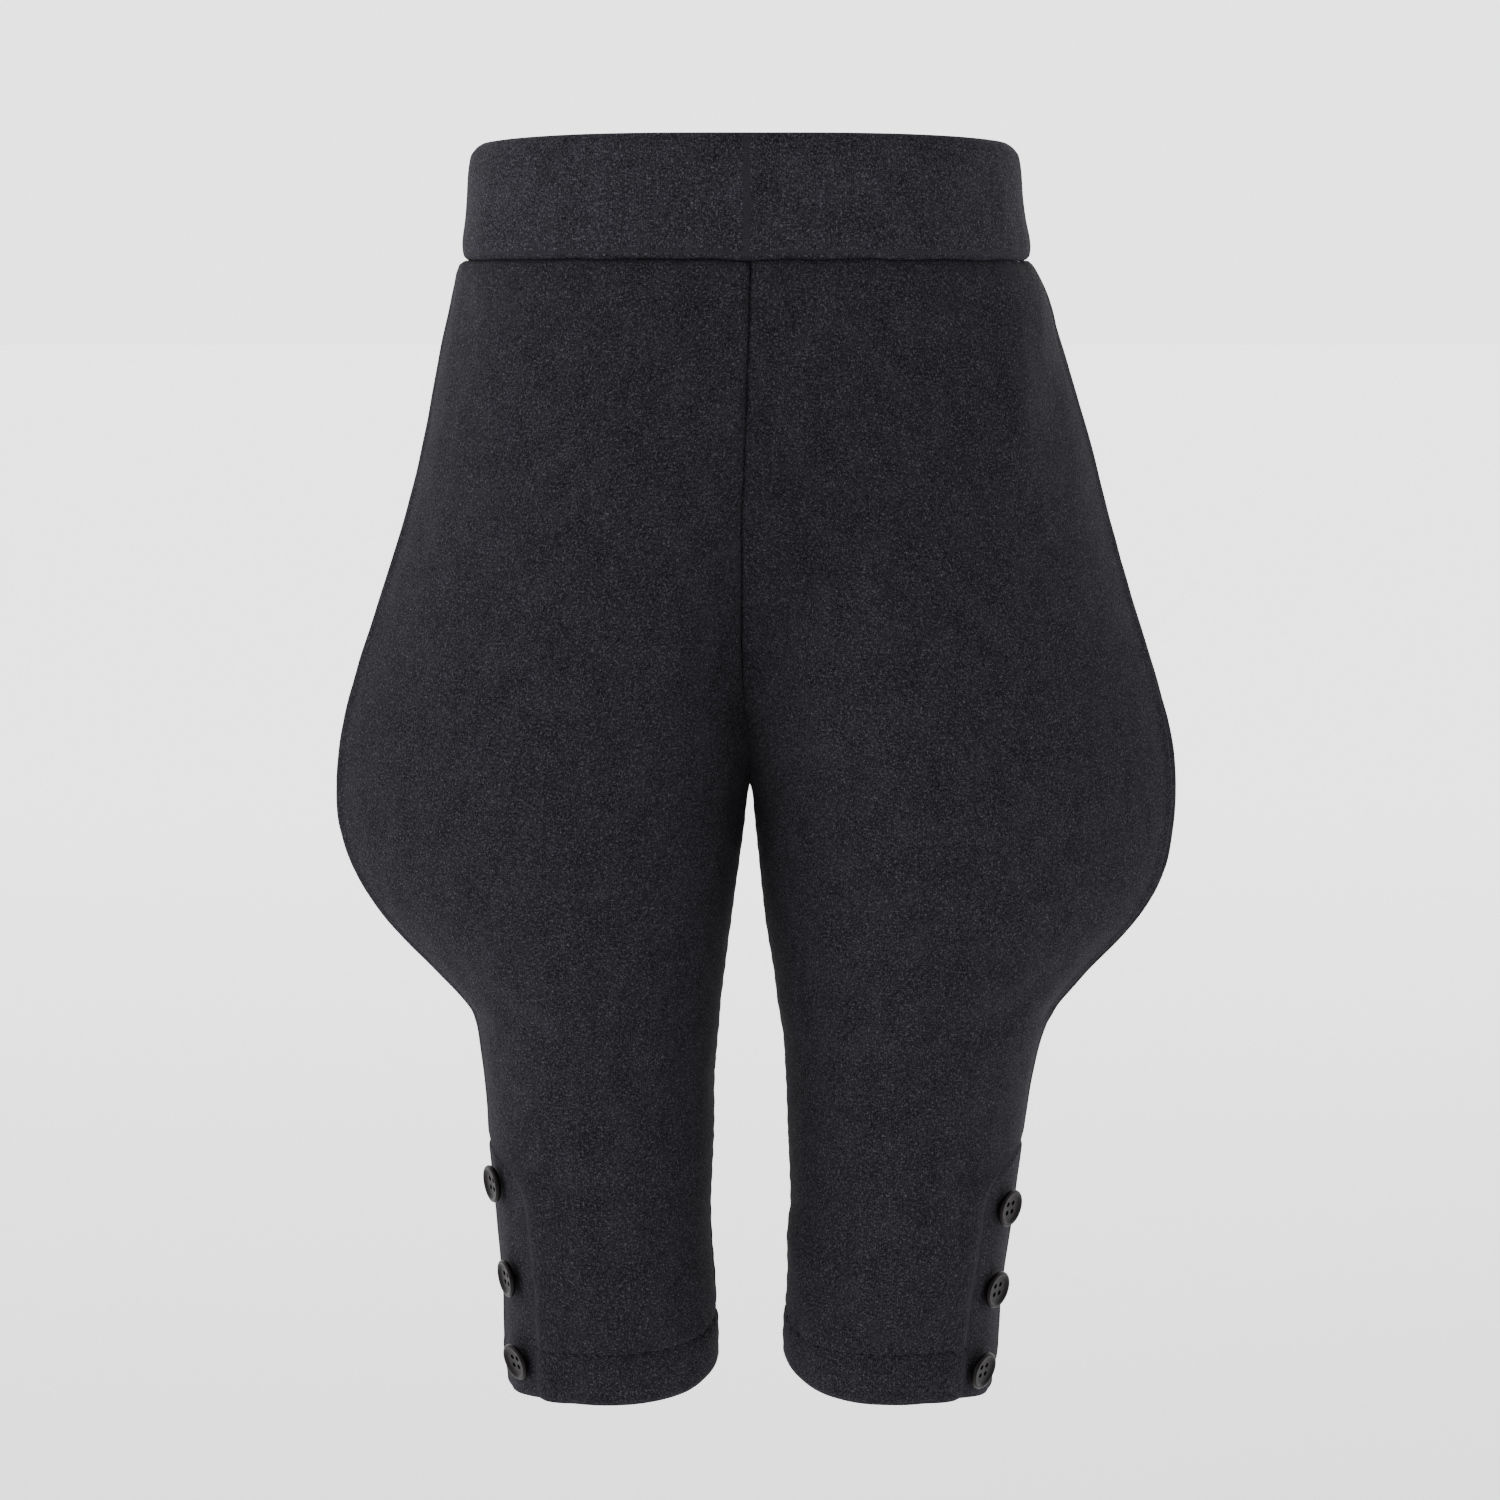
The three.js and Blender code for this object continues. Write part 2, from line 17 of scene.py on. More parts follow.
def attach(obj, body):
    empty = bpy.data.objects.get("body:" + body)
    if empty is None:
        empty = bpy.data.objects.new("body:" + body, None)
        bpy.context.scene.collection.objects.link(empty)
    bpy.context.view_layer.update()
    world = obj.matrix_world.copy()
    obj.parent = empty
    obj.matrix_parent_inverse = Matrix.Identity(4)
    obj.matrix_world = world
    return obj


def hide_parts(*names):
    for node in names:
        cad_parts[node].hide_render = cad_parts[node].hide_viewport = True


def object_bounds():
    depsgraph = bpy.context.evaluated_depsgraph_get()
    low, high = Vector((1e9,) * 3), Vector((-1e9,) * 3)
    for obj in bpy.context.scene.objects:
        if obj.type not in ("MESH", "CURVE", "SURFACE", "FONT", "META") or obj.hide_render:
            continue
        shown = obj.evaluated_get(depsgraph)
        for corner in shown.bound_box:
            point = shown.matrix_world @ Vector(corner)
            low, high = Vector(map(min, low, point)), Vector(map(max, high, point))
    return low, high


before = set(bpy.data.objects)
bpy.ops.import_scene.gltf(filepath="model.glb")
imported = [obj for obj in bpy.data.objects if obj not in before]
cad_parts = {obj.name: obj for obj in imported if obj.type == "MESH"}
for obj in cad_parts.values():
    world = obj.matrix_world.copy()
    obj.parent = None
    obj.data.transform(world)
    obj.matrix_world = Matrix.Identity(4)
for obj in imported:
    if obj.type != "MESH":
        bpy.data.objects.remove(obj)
solid_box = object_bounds()
BODY = "root"
MM = 0.001
print("solids:", sorted(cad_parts))
print("box in mm:", [[round(v / MM, 1) for v in corner] for corner in solid_box])

# %% [markdown]
# ## The camera
#
# The breeches are looked at from the front, from the height of the waist and a little downwards. A long lens
# over a metre away keeps the legs from spreading. The lens follows from how many pixels a metre covers.

# %% Camera
IMAGE_PIXELS = 1500
FOCAL_PIXELS = 3437
SENSOR_WIDTH = 36.0
CAMERA_DISTANCE = 1.100
CAMERA_HEIGHT = -0.0283
CAMERA_PITCH = math.radians(7.6)


def show(thing):
    """Puts an object into the scene."""
    bpy.context.scene.collection.objects.link(thing)


camera_data = bpy.data.cameras.new("camera")
camera_data.sensor_width = SENSOR_WIDTH
camera_data.lens = SENSOR_WIDTH * FOCAL_PIXELS / IMAGE_PIXELS
camera = bpy.data.objects.new("camera", camera_data)
camera.location = (0, -CAMERA_DISTANCE, CAMERA_HEIGHT)
camera.rotation_euler = (math.pi / 2 - CAMERA_PITCH, 0, 0)
show(camera)
bpy.context.scene.camera = camera
print(f"lens {camera_data.lens:.1f} mm")

# %% [markdown]
# ## Light and floor
#
# Knitwear is shown in a white room: a bright wall behind it, and soft light from both sides, more of it from
# the left, which gives the cloth its shape. The world lights it by direction, and area lights near the waist
# add to that. The floor lies clear below the hems, because the wearer's waist holds this garment up.

# %% Light and floor
LIGHTS_TURN_TO = Vector((0, 0, -0.18))
FLOOR_DROP = 0.12
FLOOR_SIZE = 60.0


def area_light(name, place, size, power):
    """A square soft box at a place, turned to the middle of the breeches."""
    data = bpy.data.lights.new(name, "AREA")
    data.size = size
    data.energy = power
    light = bpy.data.objects.new(name, data)
    light.location = place
    light.rotation_euler = (LIGHTS_TURN_TO - Vector(place)).to_track_quat("-Z", "Y").to_euler()
    show(light)


area_light("key_left", (-0.62, -0.22, 0.22), 0.45, 1.7)
area_light("fill_left", (-1.55, -1.7, 0.45), 1.0, 14.5)
area_light("side_right", (0.66, -0.5, 0.24), 0.45, 1.3)

floor_mesh = bpy.data.meshes.new("floor")
half = FLOOR_SIZE / 2
floor_z = solid_box[0].z - FLOOR_DROP
corners = [(-half, -half, floor_z), (half, -half, floor_z), (half, half, floor_z), (-half, half, floor_z)]
floor_mesh.from_pydata(corners, [], [(0, 1, 2, 3)])
floor = bpy.data.objects.new("floor", floor_mesh)
show(floor)
print(f"floor {FLOOR_DROP / MM:.0f} mm under the hems")

# %% [markdown]
# ## Nodes written as sums
#
# Shader and geometry trees are both graphs of nodes. This small class adds nodes to either kind, and lets
# their sockets be used in plain Python expressions, so that 1 - mask adds a Subtract node.

# %% Node graphs
class Socket:
    """A node's output that Python operators work on."""

    def __init__(self, graph, socket):
        self.graph = graph
        self.socket = socket

    def __add__(self, other):
        return self.graph.math("ADD", self, other)

    def __sub__(self, other):
        return self.graph.math("SUBTRACT", self, other)

    def __rsub__(self, other):
        return self.graph.math("SUBTRACT", other, self)

    def __mul__(self, other):
        return self.graph.math("MULTIPLY", self, other)

    def __truediv__(self, other):
        return self.graph.math("DIVIDE", self, other)

    __radd__ = __add__
    __rmul__ = __mul__


class Graph:
    """Adds nodes to a tree."""

    def __init__(self, tree):
        self.tree = tree

    def fill(self, node, values):
        """Gives a node's inputs their values, or links the sockets that they come from."""
        for name, value in values.items():
            if isinstance(value, Socket):
                self.tree.links.new(value.socket, node.inputs[name])
            else:
                node.inputs[name].default_value = value

    def node(self, kind, settings=None, inputs=None, output=0):
        """A node's output. The settings come before the inputs, because some of them change the inputs."""
        node = self.tree.nodes.new(kind)
        for name, value in (settings or {}).items():
            setattr(node, name, value)
        self.fill(node, inputs or {})
        return Socket(self, node.outputs[output])

    def math(self, operation, first, second=0.0):
        return self.node("ShaderNodeMath", {"operation": operation}, {0: first, 1: second})

    def mix(self, factor, first, second):
        return self.node("ShaderNodeMix", {"data_type": "RGBA"}, {"Factor": factor, 6: first, 7: second}, 2)

    def axis(self, vector, name):
        return self.node("ShaderNodeSeparateXYZ", None, {0: vector}, name)

    def spread(self, value, start, end, top=1.0, curve="LINEAR"):
        """0 up to the start, rising from there to the top at the end."""
        limits = {0: value, 1: start, 2: end, 3: 0.0, 4: top}
        return self.node("ShaderNodeMapRange", {"interpolation_type": curve}, limits)

    def bump(self, height, strength, distance):
        values = {"Strength": strength, "Distance": distance, "Height": height}
        return self.node("ShaderNodeBump", None, values)

    def noise(self, vector, detail, scale=1.0, dimensions="2D", **more):
        values = {"Vector": vector, "Scale": scale, "Detail": detail, **more}
        return self.node("ShaderNodeTexNoise", {"noise_dimensions": dimensions}, values)


def new_material(name):
    """A material with only its shader, and the graph to add nodes to."""
    material = bpy.data.materials.new(name)
    material.use_nodes = True
    return material, Graph(material.node_tree), material.node_tree.nodes["Principled BSDF"]


print("a graph can add:", [name for name in vars(Graph) if name[0] != "_"])

# %% [markdown]
# ## The white room
#
# The floor glows more the further back it lies, so it runs into a bright wall without an edge. The world's
# light depends on direction alone: most comes from behind, some from both sides, and little from the front.

# %% Glow of the floor
FLOOR_GLOW = 2.05
GLOW_STARTS = -1.9
GLOW_FULL = 2.2

floor_material, paper, floor_shader = new_material("pale_floor")
behind = paper.axis(paper.node("ShaderNodeTexCoord", output="Object"), "Y")
glow = paper.spread(behind, GLOW_STARTS, GLOW_FULL, FLOOR_GLOW, "SMOOTHSTEP")
paper.fill(floor_shader, {
    "Emission Color": paper.node("ShaderNodeCombineXYZ", None, {0: glow, 1: glow, 2: glow}),
    "Emission Strength": 1.0,
    "Base Color": (0.8, 0.8, 0.8, 1),
    "Roughness": 0.9,
})
floor_mesh.materials.append(floor_material)
print("floor glows up to", FLOOR_GLOW)

# %% Room
ROOM_FRONT = 0.30
ROOM_BACK = 2.62
ROOM_BACK_STARTS = 0.2
ROOM_SIDES = 1.30
ROOM_TILT = 0.12
ROOM_CEILING = 0.28

world = bpy.data.worlds.new("white_room")
world.use_nodes = True
room = Graph(world.node_tree)
looking = room.node("ShaderNodeTexCoord", output="Generated")
sideways, backward, upward = (room.axis(looking, name) for name in "XYZ")
wall_behind = room.spread(backward, ROOM_BACK_STARTS, 1.0, ROOM_BACK)
side_walls = sideways * sideways * (ROOM_SIDES - sideways * ROOM_TILT)
brightness = wall_behind + side_walls + upward * upward * ROOM_CEILING + ROOM_FRONT
room.fill(world.node_tree.nodes["Background"], {"Color": (1, 1, 1, 1), "Strength": brightness})
bpy.context.scene.world = world
print("room", ROOM_FRONT, "in front,", ROOM_FRONT + ROOM_BACK, "behind")

# %% [markdown]
# ## The knit
#
# The cloth is a melange double knit: pale and dark fibres are spun together, so every stitch has its own
# shade, and short pale fibres lie on the surface. From close by it shows fine upright wales. All of this is
# finer than any mesh, so it is made in the shader, on a UV map in metres that follows the cloth's grain. A
# sheen gives the soft pale edge that brushed cloth has where the eye grazes it.

# %% Knit material
WALE = 0.72 * MM
COURSE = 0.62 * MM
MELANGE = (2.0 * MM, 0.9 * MM)
CLOUD = (9 * MM, 12 * MM)
FIBRES = ((1.05 * MM, 3.0), (0.75 * MM, 11.0))
KNIT_DARK = (0.0027, 0.0025, 0.0032)
KNIT_LIGHT = (0.0290, 0.0272, 0.0342)
FIBRE_PALE = (0.096, 0.092, 0.108)
# How much paler the waistband's knit is painted: a painted highlight for the stronger light it catches at the
# top.
BAND_PAINTED_LIGHT = 1.24
GRAIN_MAP = "grain"


def scaled(graph, grain, size, shift=0.0):
    """The grain's coordinates in steps of a width and a height."""
    steps = (1 / size[0], 1 / size[1], 0)
    return graph.node("ShaderNodeVectorMath", {"operation": "MULTIPLY_ADD"},
                      {0: grain, 1: steps, 2: (shift, shift * 1.7, 0)})


def curled_fibres(graph, grain, size, shift):
    """Short curved lines: the contour lines of a noise, broken up by another one."""
    field = graph.noise(scaled(graph, grain, (size, size), shift), 1.0, Distortion=0.6)
    line = 1 - graph.math("ABSOLUTE", field * 2 - 1)
    gaps = graph.noise(scaled(graph, grain, (size * 0.7, size * 0.7), -shift), 1.0)
    return graph.spread(line, 0.84, 0.96) * graph.spread(gaps, 0.50, 0.61)


def knit_material(name, paler=1.0):
    """The melange knit, its colours scaled by paler. For the waistband they are painted paler, a painted
    highlight for the stronger light at the top of the garment.
    """
    colours = (KNIT_DARK, KNIT_LIGHT, FIBRE_PALE)
    dark, light, fibre = ((*(value * paler for value in colour), 1) for colour in colours)
    material, graph, shader = new_material(name)
    grain = graph.node("ShaderNodeUVMap", {"uv_map": GRAIN_MAP})
    across = graph.axis(grain, "X") / WALE
    down = graph.axis(grain, "Y") / COURSE

    ridge = 1 - graph.math("ABSOLUTE", graph.math("FRACT", across) * 2 - 1)
    loop = graph.math("SINE", (down + ridge * 0.5) * math.tau) * 0.5 + 0.5
    stitch = {0: graph.math("FLOOR", across), 1: graph.math("FLOOR", down)}
    cell = graph.node("ShaderNodeCombineXYZ", None, stitch)
    yarn = graph.node("ShaderNodeTexWhiteNoise", {"noise_dimensions": "2D"}, {"Vector": cell})
    melange = graph.noise(scaled(graph, grain, MELANGE), 3.0, Roughness=0.7)
    cloud = graph.noise(scaled(graph, grain, CLOUD), 2.0, Roughness=0.5)
    shade = yarn * 0.24 + melange * 0.60 + cloud * 0.34 + ridge * 0.14 + loop * 0.14 - 0.38

    long_ones, short_ones = (curled_fibres(graph, grain, *kind) for kind in FIBRES)
    pale = graph.math("MINIMUM", (long_ones + short_ones) * 0.35, 0.7)
    height = ridge * 0.5 + loop * 0.3 + melange * 0.9 + pale * 0.5
    graph.fill(shader, {
        "Base Color": graph.mix(pale, graph.mix(shade, dark, light), fibre),
        "Normal": graph.bump(height, 0.5, 0.13 * MM),
        "Roughness": 0.95,
        "Specular IOR Level": 0.04,
        "Sheen Weight": 0.012,
        "Sheen Roughness": 0.45,
        "Sheen Tint": (0.85, 0.86, 0.95, 1),
    })
    return material


knit = knit_material("charcoal_knit")
# The waistband's knit is the same knit painted paler, a painted highlight for the light that falls on the
# band.
band_knit_painted_light = knit_material("band_knit_painted_light", BAND_PAINTED_LIGHT)
print(f"wales {WALE / MM:.2f} mm apart, courses {COURSE / MM:.2f} mm")

# %% Thread and button materials
THREAD_DARK = (0.0015, 0.0014, 0.0018, 1)
THREAD_PALE = (0.006, 0.006, 0.007, 1)
BUTTON_COLOUR = (0.0030, 0.0020, 0.0020, 1)
BUTTON_WORN = (0.0092, 0.0066, 0.0064, 1)


def thread_material():
    material, graph, shader = new_material("dark_thread")
    place = graph.node("ShaderNodeTexCoord", output="Object")
    twist = graph.noise(place, 2.0, 2500.0, "3D")
    graph.fill(shader, {
        "Base Color": graph.mix(twist, THREAD_DARK, THREAD_PALE),
        "Roughness": 0.7,
        "Specular IOR Level": 0.1,
    })
    return material


def button_material():
    material, graph, shader = new_material("moulded_button")
    place = graph.node("ShaderNodeTexCoord", output="Object")
    cloud = graph.noise(place, 3.0, 320.0, "3D")
    fine = graph.noise(place, 2.0, 2600.0, "3D")
    graph.fill(shader, {
        "Base Color": graph.mix(cloud * 0.7 + fine * 0.25 - 0.1, BUTTON_COLOUR, BUTTON_WORN),
        "Roughness": cloud * 0.22 + fine * 0.10 + 0.26,
        "Normal": graph.bump(fine, 0.2, 0.03 * MM),
        "Specular IOR Level": 0.12,
    })
    return material


thread = thread_material()
button_plastic = button_material()
print("materials:", [material.name for material in (knit, band_knit_painted_light, thread, button_plastic)])

# %% [markdown]
# ## The cut of the legs
#
# Each leg is a tube of two panels. A row of this table is its section at one height: where the side seam, the
# inseam, and the foremost and rearmost points lie. A smooth curve through the rows gives every height between
# them, so a few rows carry the whole flare. It is the same table as the solids', in millimetres.

# %% Tables
BAND_COLUMNS = "z left right crown_x front_y back_y"
BAND_ROWS = [
    [18.2, 81.8, 85.2, 16, -64.8, 60.2],
    [14.5, 84.6, 87.9, 16, -66.2, 61.4],
    [0, 86.2, 89.5, 16, -67, 62],
    [-14.5, 88.3, 90.6, 16, -67.6, 62.5],
    [-18.8, 88.2, 90.3, 16, -67.2, 62.2],
]
LEG_COLUMNS = "z left right roll seam_y pinch crown_x front_y back_y inner_left inner_right"
LEG_ROWS = [
    [-19.1, 88.7, 91.2, 0, 0, 0, 16, -66.4, 61.2, -420, -420],
    [-24, 91.6, 92.8, 0, 0, 0, 16, -68.4, 63.6, -410, -410],
    [-32, 94.8, 94.9, 0, 0, 2, 17, -69.4, 66, -390, -390],
    [-50, 100.8, 98.8, 0, -1, 6, 20, -71, 71, -330, -330],
    [-75, 108.2, 103.9, 0, -1, 12, 26, -71.6, 77, -220, -220],
    [-100, 115.2, 110.2, 0.3, -2, 18, 33, -71.2, 80.5, -120, -120],
    [-125, 123.1, 118.5, 0.8, -3, 23, 40, -70, 80.5, -54, -54],
    [-150, 131.2, 126.9, 1.6, -4, 27, 46, -67.8, 76, -19, -19],
    [-170, 136.6, 132, 2.2, -5, 30, 50, -65, 70, -5.5, -5.5],
    [-187, 138.5, 133.8, 2.6, -5, 31, 52, -62.5, 64, 0.15, 0.15],
    [-200, 138.1, 132.8, 2.8, -5, 31, 52, -60.6, 59, 1.6, 1.9],
    [-215, 134.9, 127.6, 2.8, -5, 30, 52, -58, 53.6, 3.2, 3.9],
    [-230, 126, 117.9, 2.6, -5, 26, 51, -55, 48.8, 4.9, 5.8],
    [-245, 112.3, 103.4, 3, -6, 19, 50, -51.8, 44.8, 7.2, 7.8],
    [-258, 101.4, 91, 3, -6, 11, 49, -49, 42, 8.8, 9.5],
    [-264, 98.1, 88.8, 1.6, -4, 7, 49, -47.6, 41, 9.8, 9.9],
    [-270, 95.2, 87.8, 0.6, -3, 4, 49, -46.4, 40.2, 10.8, 10.5],
    [-285, 91.5, 86.3, 0, 0, 1, 49, -43.8, 39.6, 11.8, 11.5],
    [-305, 88.9, 85.1, 0, 1, 0, 49, -41, 40.4, 12.5, 11.9],
    [-330, 85.9, 83, 0, 2, 0, 49, -38.2, 40, 13.1, 12.7],
    [-355, 82.7, 81.1, 0, 2, 0, 47, -35.6, 37, 12, 11.2],
    [-368, 81.9, 80.9, 0, 2, 0, 46, -34.4, 35.4, 11, 10.7],
    [-377, 81.3, 80.7, 0, 2, 0, 46, -33.9, 34.6, 11.6, 10.9],
    [-383.4, 79.8, 79.8, 0, 2, 0, 46, -33.2, 33.8, 13.4, 12.2],
]


def table(columns, rows):
    """The rows as one array for each named column."""
    return dict(zip(columns.split(), np.array(rows, float).T))


BAND = table(BAND_COLUMNS, BAND_ROWS)
LEGS = table(LEG_COLUMNS, LEG_ROWS)


def sample(columns, z):
    """A smooth curve through a table's rows, read at many heights at once."""
    heights = columns["z"]
    last = len(heights) - 1
    i = np.clip(np.searchsorted(-heights, -z, side="right") - 1, 0, last - 1)
    before = np.maximum(i - 1, 0)
    after = np.minimum(i + 2, last)
    span = heights[i + 1] - heights[i]
    t = np.clip((z - heights[i]) / span, 0, 1)
    result = {}
    for name, values in columns.items():
        a, b = values[i], values[i + 1]
        slope_a = (b - values[before]) / (heights[i + 1] - heights[before]) * span
        slope_b = (values[after] - a) / (heights[after] - heights[i]) * span
        start = a * (1 + 2 * t) * (1 - t) ** 2 + slope_a * t * (1 - t) ** 2
        result[name] = start + b * t * t * (3 - 2 * t) + slope_b * t * t * (t - 1)
    return result


print(len(LEG_ROWS), "rows for the legs,", len(BAND_ROWS), "for the waistband")

# %% [markdown]
# ## Sections as round corners
#
# Between those points the cloth runs in two arcs, each a round corner. Along them u counts from 0 at the
# inseam, over 1 at the foremost or rearmost point, to 2 at the side seam. Above the fork the two legs run
# into each other, so the inner arc starts where it comes out of the middle plane.

# %% Form of a leg
ROUNDNESS = 0.56
FORK_Z = -187
FORK_Y = 6
HEM_Z = -383.4
PANEL_TOP = -18.85
FULL_ROLL = 2
LEAN_BY_ROLL = 9
ROLL_BEGINS = (-130, -165)
ROLL_ENDS = (-235, -275)
SEAM_SET_BACK = 3.5
HALVINGS = 40
STEP_U = 0.01
STEP_Z = 0.3
LEFT, RIGHT = 1, -1
FRONT, BACK = -1, 1
LEG_NAMES = {LEFT: "left", RIGHT: "right"}
FACE_NAMES = {FRONT: "front", BACK: "back"}


def smoothstep(start, end, value):
    t = np.clip((value - start) / (end - start), 0, 1)
    return t * t * (3 - 2 * t)


def bell(distance, width):
    """1 at no distance, falling off evenly on both sides."""
    return np.exp(-((distance / width) ** 2))


def arc(start, corner, end, t):
    """A cubic arc from start to end that rounds off the corner between them."""
    t = t[..., None]
    leaving = start + ROUNDNESS * (corner - start)
    arriving = end + ROUNDNESS * (corner - end)
    return start * (1 - t) ** 3 + leaving * 3 * t * (1 - t) ** 2 + arriving * 3 * t * t * (1 - t) + end * t**3


def solve(rising, target, low, high):
    """Where the value that rising(t) gives reaches the target."""
    for _ in range(HALVINGS):
        middle = (low + high) / 2
        short = rising(middle) < target
        low, high = np.where(short, middle, low), np.where(short, high, middle)
    return (low + high) / 2


def inseam_y(z):
    return FORK_Y * (1 - np.clip((FORK_Z - z) / (FORK_Z - HEM_Z), 0, 1))


def side_seam_y(leg, z):
    """The side seam lies a little behind the widest line, but the left flare rolls it to the front."""
    rolled = smoothstep(*ROLL_BEGINS, z) * (1 - smoothstep(*ROLL_ENDS, z)) if leg == LEFT else 0 * z
    return sample(LEGS, z)["seam_y"] + SEAM_SET_BACK * (1 - rolled)


def point2(x, y):
    return np.stack(np.broadcast_arrays(x, y), axis=-1)


def leg_quarter(leg, face, z):
    """The five points that a quarter of the section is drawn from, on the +X side."""
    row = sample(LEGS, z)
    name = LEG_NAMES[leg]
    crown_y = row["front_y"] if face == FRONT else row["back_y"]
    roll = row["roll"] if leg == LEFT else 0 * z
    seam_x = row[name] - roll
    inner_x = row["inner_" + name]
    rolled = np.clip(roll / FULL_ROLL, 0, 1) if face == BACK else 0 * z
    lean = LEAN_BY_ROLL * roll * rolled - row["pinch"] * (1 - rolled)
    quarter = {
        "inner_end": point2(inner_x, inseam_y(z)),
        "inner_corner": point2(inner_x, crown_y),
        "crown": point2(row["crown_x"], crown_y),
        "side_corner": point2(seam_x + lean, crown_y),
        "seam": point2(seam_x, side_seam_y(leg, z)),
    }
    middle = solve(lambda t: inner_arc(quarter, t)[..., 0], 0, 0 * z, 0 * z + 1)
    quarter["start"] = np.where(inner_x < 0, middle, 0)
    return quarter


def inner_arc(quarter, t):
    return arc(quarter["inner_end"], quarter["inner_corner"], quarter["crown"], t)


def on_quarter(quarter, u):
    start = quarter["start"]
    inner = inner_arc(quarter, start + (1 - start) * u)
    side = arc(quarter["crown"], quarter["side_corner"], quarter["seam"], u - 1)
    return np.where((u <= 1)[..., None], inner, side)


def leg_form(leg, face, z, u):
    """The leg's plain form, in millimetres."""
    flat = on_quarter(leg_quarter(leg, face, z), u)
    return np.stack([leg * flat[..., 0], flat[..., 1], z], axis=-1)


def unit(vectors):
    return vectors / np.linalg.norm(vectors, axis=-1, keepdims=True)


def form_normal(leg, face, z, u):
    """The outward direction of the form, from short steps across and down it."""
    across = leg_form(leg, face, z, u + STEP_U) - leg_form(leg, face, z, u - STEP_U)
    down = leg_form(leg, face, z - STEP_Z, u) - leg_form(leg, face, z, u)
    return unit(np.cross(across, down)) * leg * face


widest = leg_form(LEFT, FRONT, np.array([float(FORK_Z)]), np.array([2.0]))[0]
print("left side seam at the flare:", widest.round(1), "mm")

# %% [markdown]
# ## The vent and its button strip
#
# At the outer hem the front panel ends in a folded edge that lies on the button strip. The edge leaves the
# side seam at the vent's top and soon runs a fixed way inside it. The strip sinks under the front at its top,
# and further down the front's edge lies raised on it.

# %% Vent
WALL = 1.5
VENT_TOP = -304
VENT_SHOWS = 12
VENT_CURVE = 3
SIDE_ARC_LENGTH = 60
STRIP_OVERLAP = 5
STRIP_TOP = VENT_TOP + 3
STRIP_BOTTOM = HEM_Z + 0.1
LIP_RISE = WALL + 0.45
LIP_FLAT = 6
LIP_RAMP = 10
VENT_EDGE_ROLL = 2.4
STRIP_SINKS_FROM = VENT_TOP - 8
STRIP_SUNK_AT = VENT_TOP - 1


def u_at_inset(leg, z, inset):
    """The place on a front panel's side arc that lies the given distance inside the side seam."""
    quarter = leg_quarter(leg, FRONT, z)
    target = quarter["seam"][..., 0] - inset
    return solve(lambda u: on_quarter(quarter, u)[..., 0], target, 0 * z + 1, 0 * z + 2)


def front_edge(leg, z):
    reach = (2 - u_at_inset(leg, z, VENT_SHOWS)) * (1 - np.exp((z - VENT_TOP) / VENT_CURVE))
    return np.where(z >= VENT_TOP, 2, 2 - reach)


def lip_mask(leg, z, u):
    """1 where the front panel lies on the button strip, 0 away from it."""
    distance = (front_edge(leg, z - LIP_FLAT) - u) * SIDE_ARC_LENGTH
    return 1 - smoothstep(LIP_FLAT, LIP_FLAT + LIP_RAMP, distance)


def strip_sunk(z):
    return smoothstep(STRIP_SINKS_FROM, STRIP_SUNK_AT, z)


lowest = np.array([HEM_Z])
print("vent edge at the hem:", leg_form(LEFT, FRONT, lowest, front_edge(LEFT, lowest)).round(1))

# %% [markdown]
# ## Folds and ripples
#
# Worn cloth is never smooth. Large soft folds run down from the waist and across the back of the knee, and
# smaller ones are placed beside them, each a ridge or a trough between two points, with its own
# length, width and depth. Under all of them lies a faint unevenness, a few waves with seeded directions.

# %% Folds
FOLD_COLUMNS = "x0 z0 x1 z1 width height"
FRONT_FOLDS = [
    [80, -24, 82, -88, 7, 1.5],
    [93, -40, 98, -80, 8, -1.2],
    [66, -26, 56, -70, 11, -0.9],
    [44, -30, 12, -122, 7, -1.6],
    [-88, -26, -90, -62, 6, -0.9],
    [-36, -36, -14, -96, 9, -0.8],
    [15, -328, 25, -374, 5.5, 1.9],
    [89, -27, 91, -52, 3, 0.5],
    [48, -24, 44, -46, 4, -0.35],
    [26, -24, 22, -44, 4, 0.3],
    [-52, -24, -49, -48, 5, -0.35],
    [-70, -24, -71, -54, 4, 0.4],
    [8, -148, 34, -166, 4, -0.5],
    [9, -166, 40, -184, 5, -0.5],
    [-8, -150, -32, -170, 4, -0.5],
    [-9, -170, -40, -190, 5, -0.45],
    [104, -236, 70, -262, 5, -0.8],
    [96, -250, 62, -272, 5, 0.6],
    [-98, -238, -66, -262, 5, -0.7],
    [-90, -252, -60, -270, 5, 0.5],
    [20, -262, 52, -276, 5, -0.5],
    [-20, -260, -48, -274, 5, -0.5],
    [-62, -320, -58, -366, 5, 0.4],
    [40, -352, 44, -384, 4, -0.3],
    [-30, -350, -33, -384, 4, -0.3],
]
